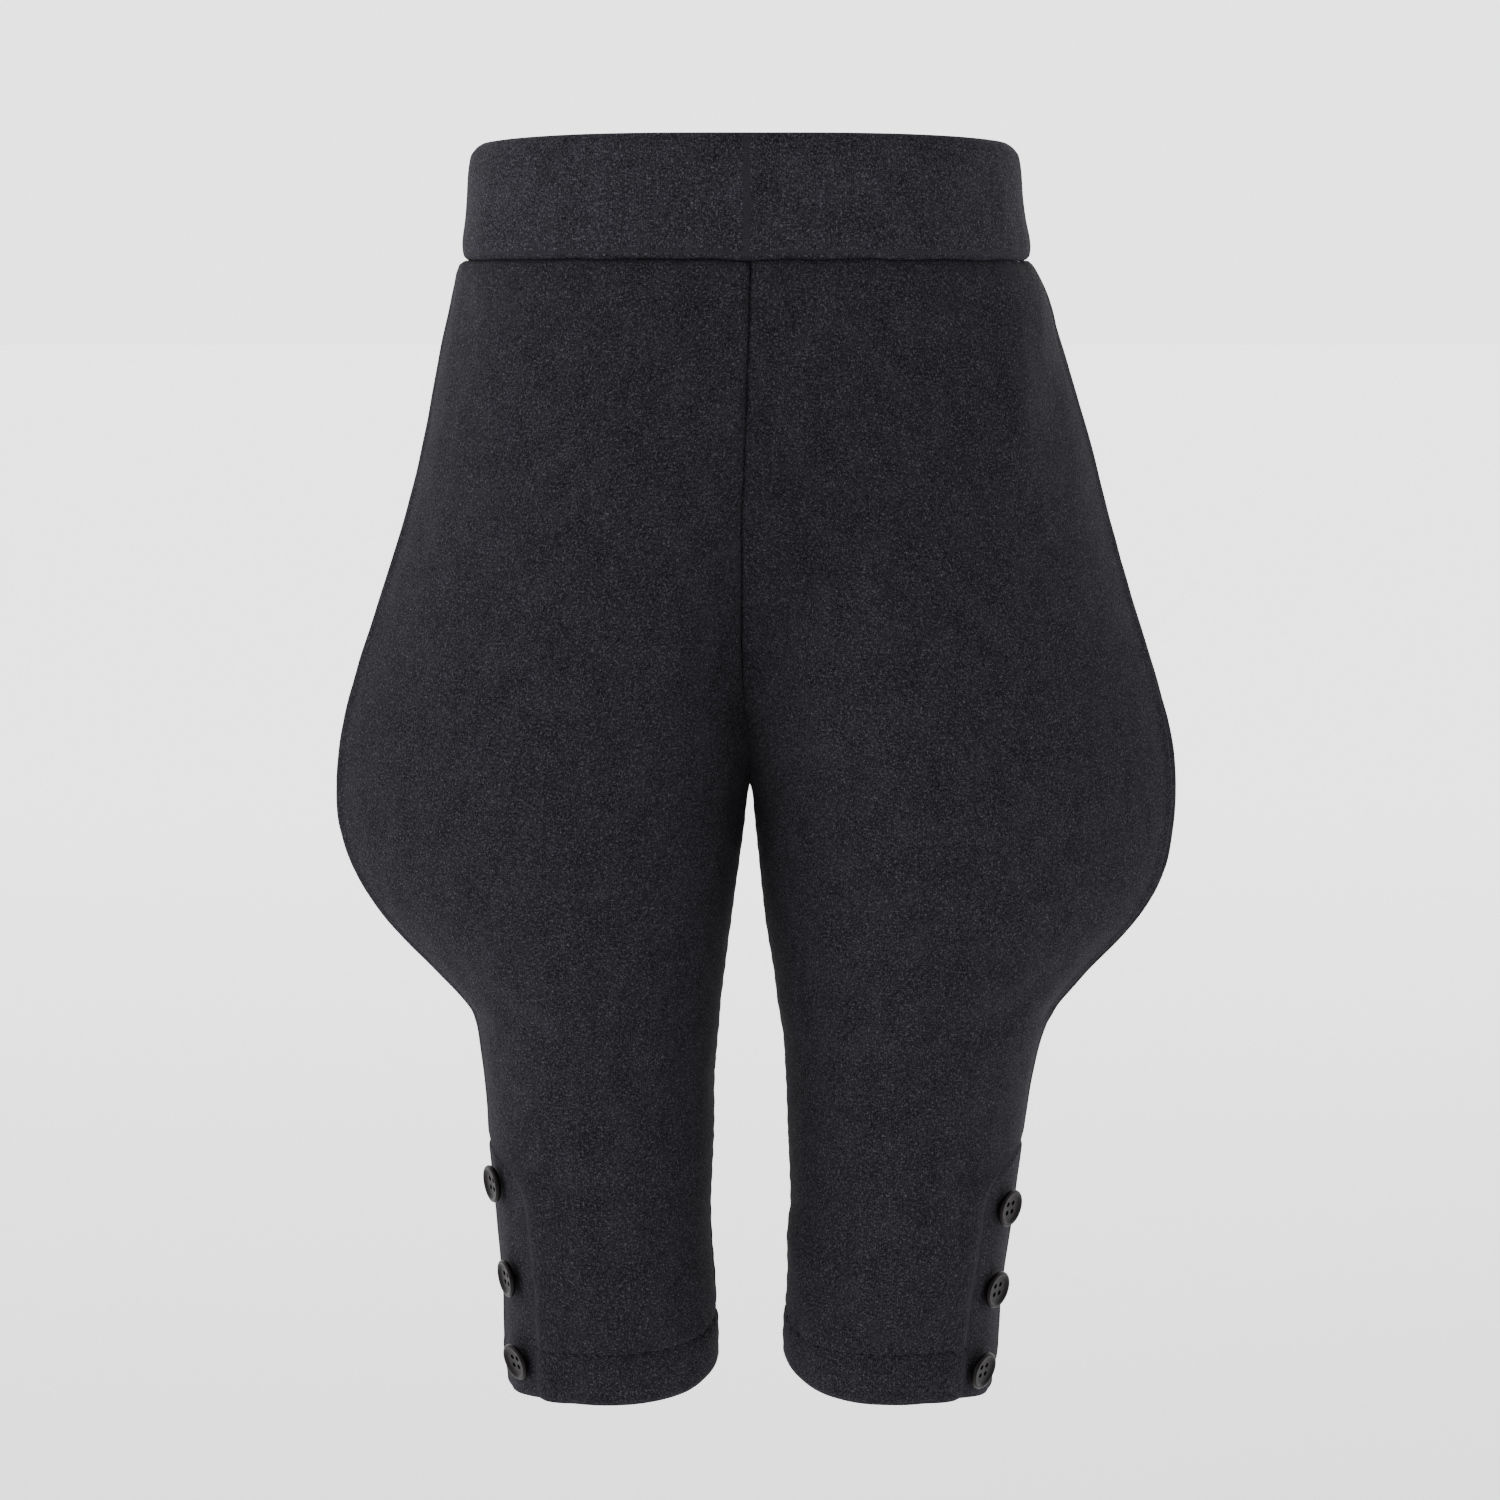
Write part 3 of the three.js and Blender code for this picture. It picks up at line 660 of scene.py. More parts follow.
BACK_FOLDS = [
    [20, -150, 74, -176, 9, -1.6],
    [-20, -152, -70, -172, 9, -1.6],
    [30, -262, 74, -270, 8, -1.5],
    [-28, -266, -72, -262, 8, -1.5],
    [76, -30, 60, -84, 10, -1.2],
    [-78, -30, -64, -80, 10, -1.2],
    [24, -164, 60, -186, 5, -0.8],
    [-22, -166, -58, -188, 5, -0.8],
    [14, -186, 44, -206, 4, -0.6],
    [-14, -186, -42, -208, 4, -0.6],
    [24, -252, 60, -256, 4, -0.8],
    [34, -276, 70, -284, 5, -0.7],
    [-24, -254, -58, -252, 4, -0.8],
    [-32, -278, -68, -276, 5, -0.7],
    [44, -26, 40, -58, 5, -0.4],
    [-46, -26, -43, -60, 5, -0.4],
    [22, -340, 28, -384, 5, 0.6],
    [-54, -336, -58, -384, 5, 0.6],
]
FOLD_STARTS = (-0.15, 0.2)
FOLD_ENDS = (0.7, 1.2)
TOP_STRIP = 6
RIPPLE_WAVES = 7
RIPPLE_SPREAD = (0.7, 1.5)


def fold_heights(leg, face, x, z):
    """How far the folds of one panel lift it. x is counted outwards from the middle."""
    height = np.zeros_like(z)
    for row in FRONT_FOLDS if face == FRONT else BACK_FOLDS:
        fold = dict(zip(FOLD_COLUMNS.split(), row))
        if np.sign(fold["x0"]) != leg:
            continue
        dx, dz = fold["x1"] - fold["x0"], fold["z1"] - fold["z0"]
        px, pz = leg * x - fold["x0"], z - fold["z0"]
        along = (px * dx + pz * dz) / (dx * dx + dz * dz)
        aside = np.abs(px * dz - pz * dx) / math.hypot(dx, dz)
        fade = smoothstep(*FOLD_STARTS, along) * (1 - smoothstep(*FOLD_ENDS, along))
        height += fold["height"] * fade * bell(aside, fold["width"])
    return height * smoothstep(PANEL_TOP, PANEL_TOP - TOP_STRIP, z)


def ripple(x, y, length, seed):
    """A gentle unevenness of about the given wavelength, between -1 and 1."""
    random = np.random.default_rng(seed)
    total = np.zeros(np.broadcast(x, y).shape)
    for _ in range(RIPPLE_WAVES):
        angle, phase = random.uniform(0, math.tau, 2)
        wave = math.tau / (length * random.uniform(*RIPPLE_SPREAD))
        total += np.sin(wave * (x * math.cos(angle) + y * math.sin(angle)) + phase)
    return total / RIPPLE_WAVES


print(len(FRONT_FOLDS), "folds in front,", len(BACK_FOLDS), "behind")

# %% [markdown]
# ## A panel of cloth
#
# A panel is a grid of points on the leg's form, lifted by its folds. Towards a seam the cloth rolls in, which
# leaves the soft groove that a sewn seam has. Above the hem's stitches it is drawn in and puckers a little.
# The inner face is the same grid, moved in by the cloth's thickness, and the two are joined at their edges.

# %% Panels
HEM_DEPTH = 17
HEM_SECOND_LAYER = 1.3
HEM_RISE = {LEFT: 7.8, RIGHT: 6.2}
STITCH_GROOVE = {LEFT: 0.35, RIGHT: 0.6}
HEM_FULLNESS = {LEFT: 0.25, RIGHT: 0.5}
LIP_DROP = {LEFT: 3.4, RIGHT: 2.6}
SIDE_DROP = {LEFT: 5.0, RIGHT: 3.8}
STITCH_Z = HEM_Z + HEM_DEPTH
SEAM_DIP = 0.9
SEAM_ROLL = 1.3
WAIST_DIP = {LEFT: 0.6, RIGHT: 1.1}
WAIST_ROLL = 0.65
WAIST_PUFF = {LEFT: 0.2, RIGHT: 0.7}
SIDE_SEAM_DIP = 0.5
SIDE_SEAM_PUFF = 0.75
SEAM_CREASE = 0.8
SEAM_CREASE_WIDTH = 0.45
VALLEY_DEPTH = 13.5
VALLEY_WIDTH = 17
VALLEY_SPREAD = 13
VALLEY_LEAN = 36
VALLEY_HIGH = (-30, -150)
VALLEY_BEGINS = (-14, -88)
VALLEY_ENDS = (-128, -183)
SEAM_WANDER = 2.6
WANDER_BEGINS = (-20, -110)
WANDER_ENDS = (-135, -186)
SEAM_WOBBLE = 0.25
WAIST_WAVE = 0.45
WAIST_RADIUS = 70
WAIST_WAVE_REACH = 5
CENTRE_DRAW = 0.7
SEAM_PUCKER = 0.14
SEAM_PUCKER_PITCH = 6.5
HEM_PUCKER_LENGTH = 5.5
HEM_EDGE_ROLL = 1.1
SURFACE_WAVES = ((46, 0.35, 0), (17, 0.12, 20))
GATHER_DEPTH = 0.16
GATHER_PITCH = 1.9
GATHER_REACH = 4
ROW_STOPS = (PANEL_TOP, PANEL_TOP - TOP_STRIP, VENT_TOP + 6, STITCH_Z + 4, HEM_Z)
ROW_COUNTS = (11, 206, 56, 37)
CORNER_ANGLE = math.radians(55)


def hem_rise(leg, z, u, drop):
    """The hem isn't level: it rises towards the inseam and hangs lower at the outside."""
    rise = HEM_RISE[leg] * np.clip(1 - u, 0, 1) ** 3 - drop * smoothstep(1.3, 1.95, u)
    return rise * smoothstep(HEM_Z + 45, HEM_Z + HEM_DEPTH - 2, z)


def row_lengths(points):
    """How far along its row each point lies."""
    steps = np.linalg.norm(np.diff(points, axis=1), axis=2)
    return np.concatenate([np.zeros((len(points), 1)), np.cumsum(steps, axis=1)], axis=1)


def grain_of(points, crown, shift):
    """The cloth's own coordinates in metres: across from the crown column, and down square to the rows."""
    lengths = row_lengths(points)
    across = lengths - lengths[:, crown][:, None]
    tangent = unit(np.gradient(points, axis=1))
    step = np.diff(points, axis=0)
    step -= (step * tangent[1:]).sum(axis=2, keepdims=True) * tangent[1:]
    down = np.cumsum(np.linalg.norm(step, axis=2), axis=0)
    down = np.concatenate([np.zeros((1, points.shape[1])), down])
    return np.stack([across + 53 * shift, 31 * shift - down], axis=2) * MM


def seam_hollow(distance, dip, roll):
    return -dip * bell(distance, roll)


def valley(x, z):
    """The hollow between the thighs. It starts wide under the left hip, and narrows towards the fork."""
    high = 1 - smoothstep(*VALLEY_HIGH, z)
    reach = smoothstep(*VALLEY_BEGINS, z) * (1 - smoothstep(*VALLEY_ENDS, z))
    return VALLEY_DEPTH * reach * bell(x - VALLEY_LEAN * high, VALLEY_WIDTH + VALLEY_SPREAD * high)


def wandered(points):
    """Sets the front's middle a little aside, because the centre seam doesn't hang quite straight."""
    x, z = points[..., 0], points[..., 2]
    strength = smoothstep(*WANDER_BEGINS, z) * (1 - smoothstep(*WANDER_ENDS, z))
    wobble = SEAM_WOBBLE * ripple(0 * z, z, 16, 3) * (z > FORK_Z)
    points[..., 0] = x - SEAM_WANDER * strength * bell(x, 35) + wobble * bell(x, 4)


def waist_wave(x, y):
    """How far the waist seam rises or falls. It is drawn down where it meets the centre seam."""
    turn = np.arctan2(y, x)
    wave = WAIST_WAVE * ripple(WAIST_RADIUS * np.cos(turn), WAIST_RADIUS * np.sin(turn), 16, 8)
    return wave - CENTRE_DRAW * bell(x, 7) * (y < 0)


def seam_puckers(along, z, seed):
    """The small drawn-in places that a row of stitches leaves beside the centre seam and the inseam."""
    places = np.sin(math.tau * z / SEAM_PUCKER_PITCH + 3 * ripple(along * 0, z, 30, seed))
    return SEAM_PUCKER * places * bell(along - 1.6, 1.8)


def side_puff(to_side):
    """The fullness of the cloth just beside a side seam."""
    return SIDE_SEAM_PUFF * bell(to_side - 2.6, 2.4)


def hem_relief(leg, z, along, seed):
    """The groove of the hem's stitches, its puckers, and the fuller edge below."""
    groove = -STITCH_GROOVE[leg] * bell(z - STITCH_Z, 0.8)
    wander = ripple(along, z * 0, 38, seed) * 2.5
    pucker = np.sin(math.tau * along / HEM_PUCKER_LENGTH + wander) * bell(z - STITCH_Z, 4.5)
    strength = 0.14 + 0.11 * ripple(along, z * 0, 30, seed + 1)
    fuller = HEM_FULLNESS[leg] * smoothstep(STITCH_Z + 1, STITCH_Z - 5, z)
    return groove + pucker * strength + fuller - bell(z - HEM_Z, HEM_EDGE_ROLL)


def keep_clear(points, leg, face, u):
    """Holds the points on their own side of the centre seam, the inseam and the side seam."""
    points[..., 0] = leg * np.maximum(leg * points[..., 0], 0)
    limit = np.where(u > 1, side_seam_y(leg, points[..., 2]), inseam_y(points[..., 2]))
    points[..., 1] = limit + face * np.maximum(face * (points[..., 1] - limit), 0)
    return points


def close_seams(points, along):
    """Moves the cloth beside the centre seam and the inseam onto them, so that two panels meet there."""
    z = points[:, 0, 2]
    above = z >= FORK_Z
    to_middle = np.where(above, -points[:, 0, 0], 0)
    to_inseam = np.where(above, 0, inseam_y(z) - points[:, 0, 1])
    near = bell(along, SEAM_ROLL)
    points[..., 0] += to_middle[:, None] * near
    points[..., 1] += to_inseam[:, None] * near


def panel_rows():
    """The heights of a panel's rows, closest at the waist seam and the hem."""
    parts = [np.linspace(*span)[1:] for span in zip(ROW_STOPS, ROW_STOPS[1:], ROW_COUNTS)]
    return np.concatenate([[PANEL_TOP], *parts])


INNER_COLUMNS = np.linspace(0, 1, 54) ** 1.8
SIDE_COLUMNS = 1 - (1 - np.linspace(0, 1, 70)[1:]) ** 1.6
CROWN_COLUMN = len(INNER_COLUMNS) - 1


def panel_faces(leg, face):
    """The outer and inner grid of a panel."""
    rows = panel_rows()
    edge = front_edge(leg, rows) if face == FRONT else 0 * rows + 2
    side = 1 + (edge - 1)[:, None] * SIDE_COLUMNS
    u = np.concatenate([np.broadcast_to(INNER_COLUMNS, (len(rows), len(INNER_COLUMNS))), side], axis=1)
    level = rows[:, None] + 0 * u
    z = level + hem_rise(leg, level, u, LIP_DROP[leg] if face == FRONT else SIDE_DROP[leg])
    form = leg_form(leg, face, z, u)
    normal = form_normal(leg, face, z, u)

    along = row_lengths(form)
    to_side = along[:, -1:] - along
    seed = 10 + 2 * face + leg
    lift = fold_heights(leg, face, np.abs(form[..., 0]), z)
    lift += sum(height * ripple(along, z, length, seed + more) for length, height, more in SURFACE_WAVES)
    mask = lip_mask(leg, level, u) if face == FRONT else 0 * z
    lift += LIP_RISE * mask * (1 - strip_sunk(level))
    from_top = PANEL_TOP - z
    lift += seam_hollow(from_top, WAIST_DIP[leg], WAIST_ROLL) + WAIST_PUFF[leg] * bell(from_top - 2.5, 4)
    gathers = np.sin(along / GATHER_PITCH + 2 * ripple(along, z * 0, 30, seed + 40))
    lift += GATHER_DEPTH * gathers * np.exp(-from_top / GATHER_REACH)
    sewn = smoothstep(VENT_TOP - 4, VENT_TOP + 4, level) if face == FRONT else 0 * z + 1
    seams = seam_hollow(along, SEAM_DIP, SEAM_ROLL) + sewn * seam_hollow(to_side, SIDE_SEAM_DIP, SEAM_ROLL)
    lift += seams + seam_hollow(along, SEAM_CREASE, SEAM_CREASE_WIDTH)
    lift += sewn * side_puff(to_side) * smoothstep(0, 12, from_top)
    folded = (1 - sewn) * bell(to_side, VENT_EDGE_ROLL)
    lift += hem_relief(leg, level, along, seed + 60) + seam_puckers(along, z, seed + 80) - 1.3 * folded

    outer = form + normal * lift[..., None]
    outer[..., 1] -= face * valley(form[..., 0], z)
    outer[..., 2] = np.where(rows[:, None] == rows[0], rows[0], outer[..., 2])
    close_seams(outer, along)
    keep_clear(outer, leg, face, u)
    thickness = WALL + HEM_SECOND_LAYER * smoothstep(STITCH_Z + 0.5, STITCH_Z - 0.5, level) * (1 - mask)
    thickness += 0.55 * np.minimum(seams, 0) - 0.5 * bell(level - HEM_Z, HEM_EDGE_ROLL) - 0.9 * folded
    inner = outer - normal * thickness[..., None]
    inner[[0, -1], :, 2] = outer[[0, -1], :, 2]
    keep_clear(inner, leg, face, u)
    for points in (outer, inner):
        if face == FRONT:
            wandered(points)
        points[..., 2] += waist_wave(points[..., 0], points[..., 1]) * bell(from_top, WAIST_WAVE_REACH)
    return outer, inner


def wall_mesh(name, outer, inner, crown, flipped, shift):
    """Two grids joined at their edges into one closed wall, with the grain as its UV map.

    The shift moves the grain, so that no two pieces show the same patch of yarn.
    """
    rows, columns = outer.shape[:2]
    index = np.arange(2 * rows * columns).reshape(2, rows, columns)
    out, into = index

    def quads(a, b, c, d):
        return np.stack([a, b, c, d], axis=-1).reshape(-1, 4)

    sides = [
        quads(out[:-1, :-1], out[1:, :-1], out[1:, 1:], out[:-1, 1:]),
        quads(into[:-1, :-1], into[:-1, 1:], into[1:, 1:], into[1:, :-1]),
        quads(out[:-1, 0], into[:-1, 0], into[1:, 0], out[1:, 0]),
        quads(out[:-1, -1], out[1:, -1], into[1:, -1], into[:-1, -1]),
        quads(out[0, :-1], out[0, 1:], into[0, 1:], into[0, :-1]),
        quads(out[-1, :-1], into[-1, :-1], into[-1, 1:], out[-1, 1:]),
    ]
    faces = np.concatenate(sides)
    if flipped:
        faces = faces[:, ::-1]
    points = np.concatenate([outer.reshape(-1, 3), inner.reshape(-1, 3)]) * MM
    grain = np.concatenate([grain_of(outer, crown, shift).reshape(-1, 2)] * 2)
    mesh = mesh_from(name, points, faces, grain)
    mesh.set_sharp_from_angle(angle=CORNER_ANGLE)
    return mesh


def mesh_from(name, points, faces, grain):
    """A smooth mesh from arrays of points, four-cornered faces and each point's place in the grain."""
    mesh = bpy.data.meshes.new(name)
    mesh.vertices.add(len(points))
    mesh.vertices.foreach_set("co", np.ascontiguousarray(points, np.float32).ravel())
    mesh.loops.add(faces.size)
    mesh.loops.foreach_set("vertex_index", np.ascontiguousarray(faces, np.int32).ravel())
    mesh.polygons.add(len(faces))
    mesh.polygons.foreach_set("loop_start", np.arange(0, faces.size, 4, dtype=np.int32))
    mesh.polygons.foreach_set("use_smooth", np.ones(len(faces), bool))
    mesh.update(calc_edges=True)
    mesh.validate()
    layer = mesh.uv_layers.new(name=GRAIN_MAP)
    layer.data.foreach_set("uv", grain[faces.ravel()].astype(np.float32).ravel())
    return mesh


def add_piece(name, mesh, material, node=None):
    """A finished piece at the origin, which rides on the body and stands for its solid."""
    piece = bpy.data.objects.new(name, mesh)
    mesh.materials.append(material)
    show(piece)
    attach(piece, BODY)
    if node:
        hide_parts(node)
    return piece


panels = {}
for leg in (LEFT, RIGHT):
    for face in (FRONT, BACK):
        node = f"{FACE_NAMES[face]}_{LEG_NAMES[leg]}"
        outer, inner = panel_faces(leg, face)
        mesh = wall_mesh(f"{node}_cloth", outer, inner, CROWN_COLUMN, leg * face > 0, 3 * leg + face)
        panels[node] = add_piece(f"{node}_cloth", mesh, knit, node)

# %% [markdown]
# ## The button strips
#
# A strip of the same knit lies under each vent. It is built as the panels are, from under the front's folded
# edge to the side seam, where it rolls in against the back panel.

# %% Button strips
STRIP_ROWS = 90
STRIP_COLUMNS = 26
STRIP_WALL = WALL - 0.2
STRIP_EDGE_ROLL = 0.7


def strip_faces(leg):
    """The outer and inner grid of a strip."""
    rows = np.linspace(STRIP_TOP, STRIP_BOTTOM, STRIP_ROWS)
    start = front_edge(leg, rows - STRIP_OVERLAP) - STRIP_OVERLAP / SIDE_ARC_LENGTH
    part = 1 - (1 - np.linspace(0, 1, STRIP_COLUMNS)) ** 1.4
    u = start[:, None] + (2 - start)[:, None] * part
    level = rows[:, None] + 0 * u
    z = level + hem_rise(leg, level, u, SIDE_DROP[leg])
    form = leg_form(leg, FRONT, z, u)
    normal = form_normal(leg, FRONT, z, u)
    along = row_lengths(form)
    to_side = along[:, -1:] - along
    covered = 1 - smoothstep(0, 5, (u - front_edge(leg, level)) * SIDE_ARC_LENGTH)
    lift = -LIP_RISE * strip_sunk(level) * covered + 0.10 * ripple(along, z, 14, 90 + leg)
    lift += side_puff(to_side) * smoothstep(VENT_TOP + 1, VENT_TOP - 2, level)
    lift += seam_hollow(to_side, SIDE_SEAM_DIP, SEAM_ROLL) - STRIP_EDGE_ROLL * bell(level - STRIP_BOTTOM, 1)
    outer = keep_clear(form + normal * lift[..., None], leg, FRONT, u)
    inner = outer - normal * STRIP_WALL
    inner[[0, -1], :, 2] = outer[[0, -1], :, 2]
    return outer, keep_clear(inner, leg, FRONT, u)


for leg in (LEFT, RIGHT):
    node = f"button_strip_{LEG_NAMES[leg]}"
    outer, inner = strip_faces(leg)
    mesh = wall_mesh(f"{node}_cloth", outer, inner, 0, leg < 0, 7 * leg)
    add_piece(f"{node}_cloth", mesh, knit, node)

# %% [markdown]
# ## The waistband
#
# The waistband is one strip of knit folded double over an elastic, so its edges are full and round, and it
# bends in at the top. A section with round edges is carried round the waist. The faint waves in it come from
# the elastic, which draws the cloth in a little unevenly.

# %% Waistband
BAND_TOP = 18.6
BAND_BOTTOM = -18.8
BAND_WALL = 3.4
BAND_DIP_AT_SIDE = 0.9
BAND_FACE_ROWS = 34
BAND_EDGE_ROWS = 11
BAND_SIDE_COLUMNS = 62
BAND_PUFF = 0.55
BAND_UNDERCUT = 0.3
BAND_RADIUS = 80


def band_section():
    """Distances in from the outer face and heights, up the outside and down the inside."""
    radius = BAND_WALL / 2
    low, high = BAND_BOTTOM + radius, BAND_TOP - radius
    face = np.linspace(low, high, BAND_FACE_ROWS)[1:-1]
    turn = np.linspace(0, math.pi, BAND_EDGE_ROWS)
    over = point2(radius - radius * np.cos(turn), high + radius * np.sin(turn))
    under = point2(radius + radius * np.cos(turn), low - radius * np.sin(turn))
    return np.concatenate([point2(0 * face, face), over, point2(0 * face + BAND_WALL, face[::-1]), under])


def band_quarter(leg, face, z):
    row = sample(BAND, z)
    crown_y = row["front_y"] if face == FRONT else row["back_y"]
    side = row[LEG_NAMES[leg]]
    return {
        "inner_end": point2(0 * z, crown_y),
        "inner_corner": point2(row["crown_x"] / 2, crown_y),
        "crown": point2(row["crown_x"], crown_y),
        "side_corner": point2(side, crown_y),
        "seam": point2(side, 0 * z),
        "start": 0 * z,
    }


def band_ring(heights):
    """Rings round the waist, one for each height, counted from the middle of the front."""
    steps = np.concatenate([np.linspace(0, 1, 8)[:-1], np.linspace(1, 2, BAND_SIDE_COLUMNS)])
    forward = (steps, steps[:-1][::-1], steps[1:], steps[1:-1][::-1])
    order = ((LEFT, FRONT), (LEFT, BACK), (RIGHT, BACK), (RIGHT, FRONT))
    parts = []
    for (leg, face), u in zip(order, forward):
        z = np.broadcast_to(heights[:, None], (len(heights), len(u)))
        flat = on_quarter(band_quarter(leg, face, z), np.broadcast_to(u, z.shape))
        parts.append(flat * [leg, 1])
    return np.concatenate(parts, axis=1)


def band_mesh():
    """The band's section carried round the waist, and the band's length."""
    section = band_section()
    inset, z = section[:, :1], section[:, 1:]
    ring = band_ring(section[:, 1])
    along = unit(np.roll(ring, -1, axis=1) - np.roll(ring, 1, axis=1))
    lengths = row_lengths(np.concatenate([ring, ring[:, :1]], axis=1))
    around = lengths[len(section) // 4][None, :-1]
    total = lengths[len(section) // 4, -1]
    turn = around / total * math.tau
    puff = BAND_PUFF * bell(z - BAND_BOTTOM - 6, 5)
    puff -= BAND_UNDERCUT * smoothstep(BAND_BOTTOM + 2, BAND_BOTTOM, z)
    sideways, backward = np.cos(turn) * BAND_RADIUS, np.sin(turn) * BAND_RADIUS
    waves = ripple(sideways, backward + z * 0.4, 15, 5) * 0.22 + ripple(sideways, backward + z, 48, 6) * 0.35
    outside = inset < BAND_WALL / 2
    inward = inset - np.where(outside, puff, 0) - waves
    dip = BAND_DIP_AT_SIDE * np.clip(z / BAND_TOP, 0, 1) * (np.abs(ring[..., 0]) / BAND["left"][0]) ** 4
    x = ring[..., 0] - along[..., 1] * inward
    y = ring[..., 1] + along[..., 0] * inward
    wave = waist_wave(x, y) * bell(z - BAND_BOTTOM, WAIST_WAVE_REACH)
    points = np.stack([x, y, z - dip + wave], axis=-1)

    rows, columns = x.shape
    index = np.arange(rows * columns).reshape(rows, columns)
    up = np.roll(index, -1, axis=0)
    faces = np.stack([index, np.roll(index, -1, axis=1), np.roll(up, -1, axis=1), up], axis=-1).reshape(-1, 4)
    fold = np.cumsum(np.concatenate([[0], np.hypot(*np.diff(section, axis=0).T)]))
    grain = np.stack(np.broadcast_arrays(around, fold[:, None]), axis=-1).reshape(-1, 2) * MM
    return mesh_from("waistband_cloth", points.reshape(-1, 3) * MM, faces, grain), total * MM


mesh, waist_length = band_mesh()
waistband = add_piece("waistband_cloth", mesh, band_knit_painted_light, "waistband")
print(f"waistband: {len(mesh.polygons)} faces, {waist_length:.3f} m round")

# %% [markdown]
# ## The buttons
#
# A moulded four-hole button is a turned form, so its outline is spun about its axis, and the holes are cut
# with a boolean. It stands on a shank of thread, and the same dark thread fills the holes from below.

# %% Buttons
# leg, height, distance inside the side seam, and degrees turned to the front and down
BUTTON_ROWS = [
    [LEFT, -321.5, 5.0, 37, 9],
    [LEFT, -348.8, 5.3, 37, 9],
    [LEFT, -374.9, 7.8, 37, 12],
    [RIGHT, -314.5, 3.2, 25, 6],
    [RIGHT, -345.1, 5.2, 25, 7],
    [RIGHT, -372.3, 6.8, 36, 14],
]
BUTTON_GAP = 0.3
SHANK = 0.9
SHANK_RADIUS = 1.6
HOLE_RADIUS = 0.85
HOLE_SPREAD = 1.45
THREAD_FILL = HOLE_RADIUS * 0.92
HOLE_SIDES = ((1, 1), (1, -1), (-1, 1), (-1, -1))
BUTTON_SIDES = 56
BUTTON_CREASE = math.radians(35)
BUTTON_OUTLINE = [
    (0, 0), (3.2, 0), (4.6, 0.1), (5.5, 0.45), (6.0, 0.9),
    (6.2, 1.4), (6.12, 1.9), (5.85, 2.25), (5.5, 2.4), (5.15, 2.35),
    (4.85, 2.15), (4.5, 1.8), (4.0, 1.58), (3.2, 1.46), (0, 1.4),
]


def mesh_of(form, name):
    """What was built in a bmesh, as a mesh."""
    mesh = bpy.data.meshes.new(name)
    form.to_mesh(mesh)
    form.free()
    return mesh


def spun(outline, sides):
    """A form turned about the Z axis from (radius, height above the shank) points."""
    form = bmesh.new()
    points = [form.verts.new((radius * MM, 0, (SHANK + height) * MM)) for radius, height in outline]
    edges = [form.edges.new(pair) for pair in zip(points, points[1:])]
    bmesh.ops.spin(form, geom=points + edges, axis=(0, 0, 1), cent=(0, 0, 0), angle=math.tau, steps=sides,
                   use_merge=True)
    bmesh.ops.remove_doubles(form, verts=form.verts, dist=0.001 * MM)
    bmesh.ops.recalc_face_normals(form, faces=form.faces)
    return mesh_of(form, "spun")


def baked(thing):
    """What an object's modifiers make of it, as a mesh. The object goes."""
    mesh = bpy.data.meshes.new_from_object(thing.evaluated_get(bpy.context.evaluated_depsgraph_get()))
    bpy.data.objects.remove(thing)
    return mesh


def cut_holes(body, holes):
    """A copy of a mesh with the holes cut out."""
    cutter = bpy.data.objects.new("holes", holes)
    blank = bpy.data.objects.new("blank", body)
    show(cutter)
    show(blank)
    modifier = blank.modifiers.new("cut", "BOOLEAN")
    modifier.object = cutter
    modifier.solver = "EXACT"
    modifier.use_self = False
    mesh = baked(blank)
    bpy.data.objects.remove(cutter)
    return mesh


def hole_places(height):
    """The matrices that put something into each hole, at a height."""
    middles = [(x * HOLE_SPREAD * MM, y * HOLE_SPREAD * MM, height * MM) for x, y in HOLE_SIDES]
    return [Matrix.Translation(middle) for middle in middles]


def hole_cylinders():
    form = bmesh.new()
    for place in hole_places(SHANK + 1):
        bmesh.ops.create_cone(form, cap_ends=True, segments=18, radius1=HOLE_RADIUS * MM,
                              radius2=HOLE_RADIUS * MM, depth=5 * MM, matrix=place)
    return mesh_of(form, "hole_cylinders")


def button_frame(leg, z, inset, forward, down):
    """The matrix that stands a button on its strip, facing its own way."""
    height = np.array([float(z)])
    u = u_at_inset(leg, height, inset)
    point = leg_form(leg, FRONT, height, u)[0]
    normal = form_normal(leg, FRONT, height, u)[0]
    turn, droop = math.radians(forward), math.radians(down)
    level = math.cos(droop)
    facing = Vector((leg * math.cos(turn) * level, -math.sin(turn) * level, -math.sin(droop)))
    place = Vector((point + normal * BUTTON_GAP) * MM)
    return Matrix.Translation(place) @ facing.to_track_quat("Z", "Y").to_matrix().to_4x4()


def thread_mesh():
    """The shank, and the thread that lies low in each hole."""
    form = bmesh.new()
    shank = Matrix.Translation((0, 0, SHANK * MM / 2))
    bmesh.ops.create_cone(form, cap_ends=True, segments=20, radius1=SHANK_RADIUS * MM,
                          radius2=SHANK_RADIUS * 0.8 * MM, depth=SHANK * MM, matrix=shank)
    for place in hole_places(SHANK + 0.35):
        bmesh.ops.create_uvsphere(form, u_segments=12, v_segments=8, radius=THREAD_FILL * MM, matrix=place)
    return mesh_of(form, "thread")


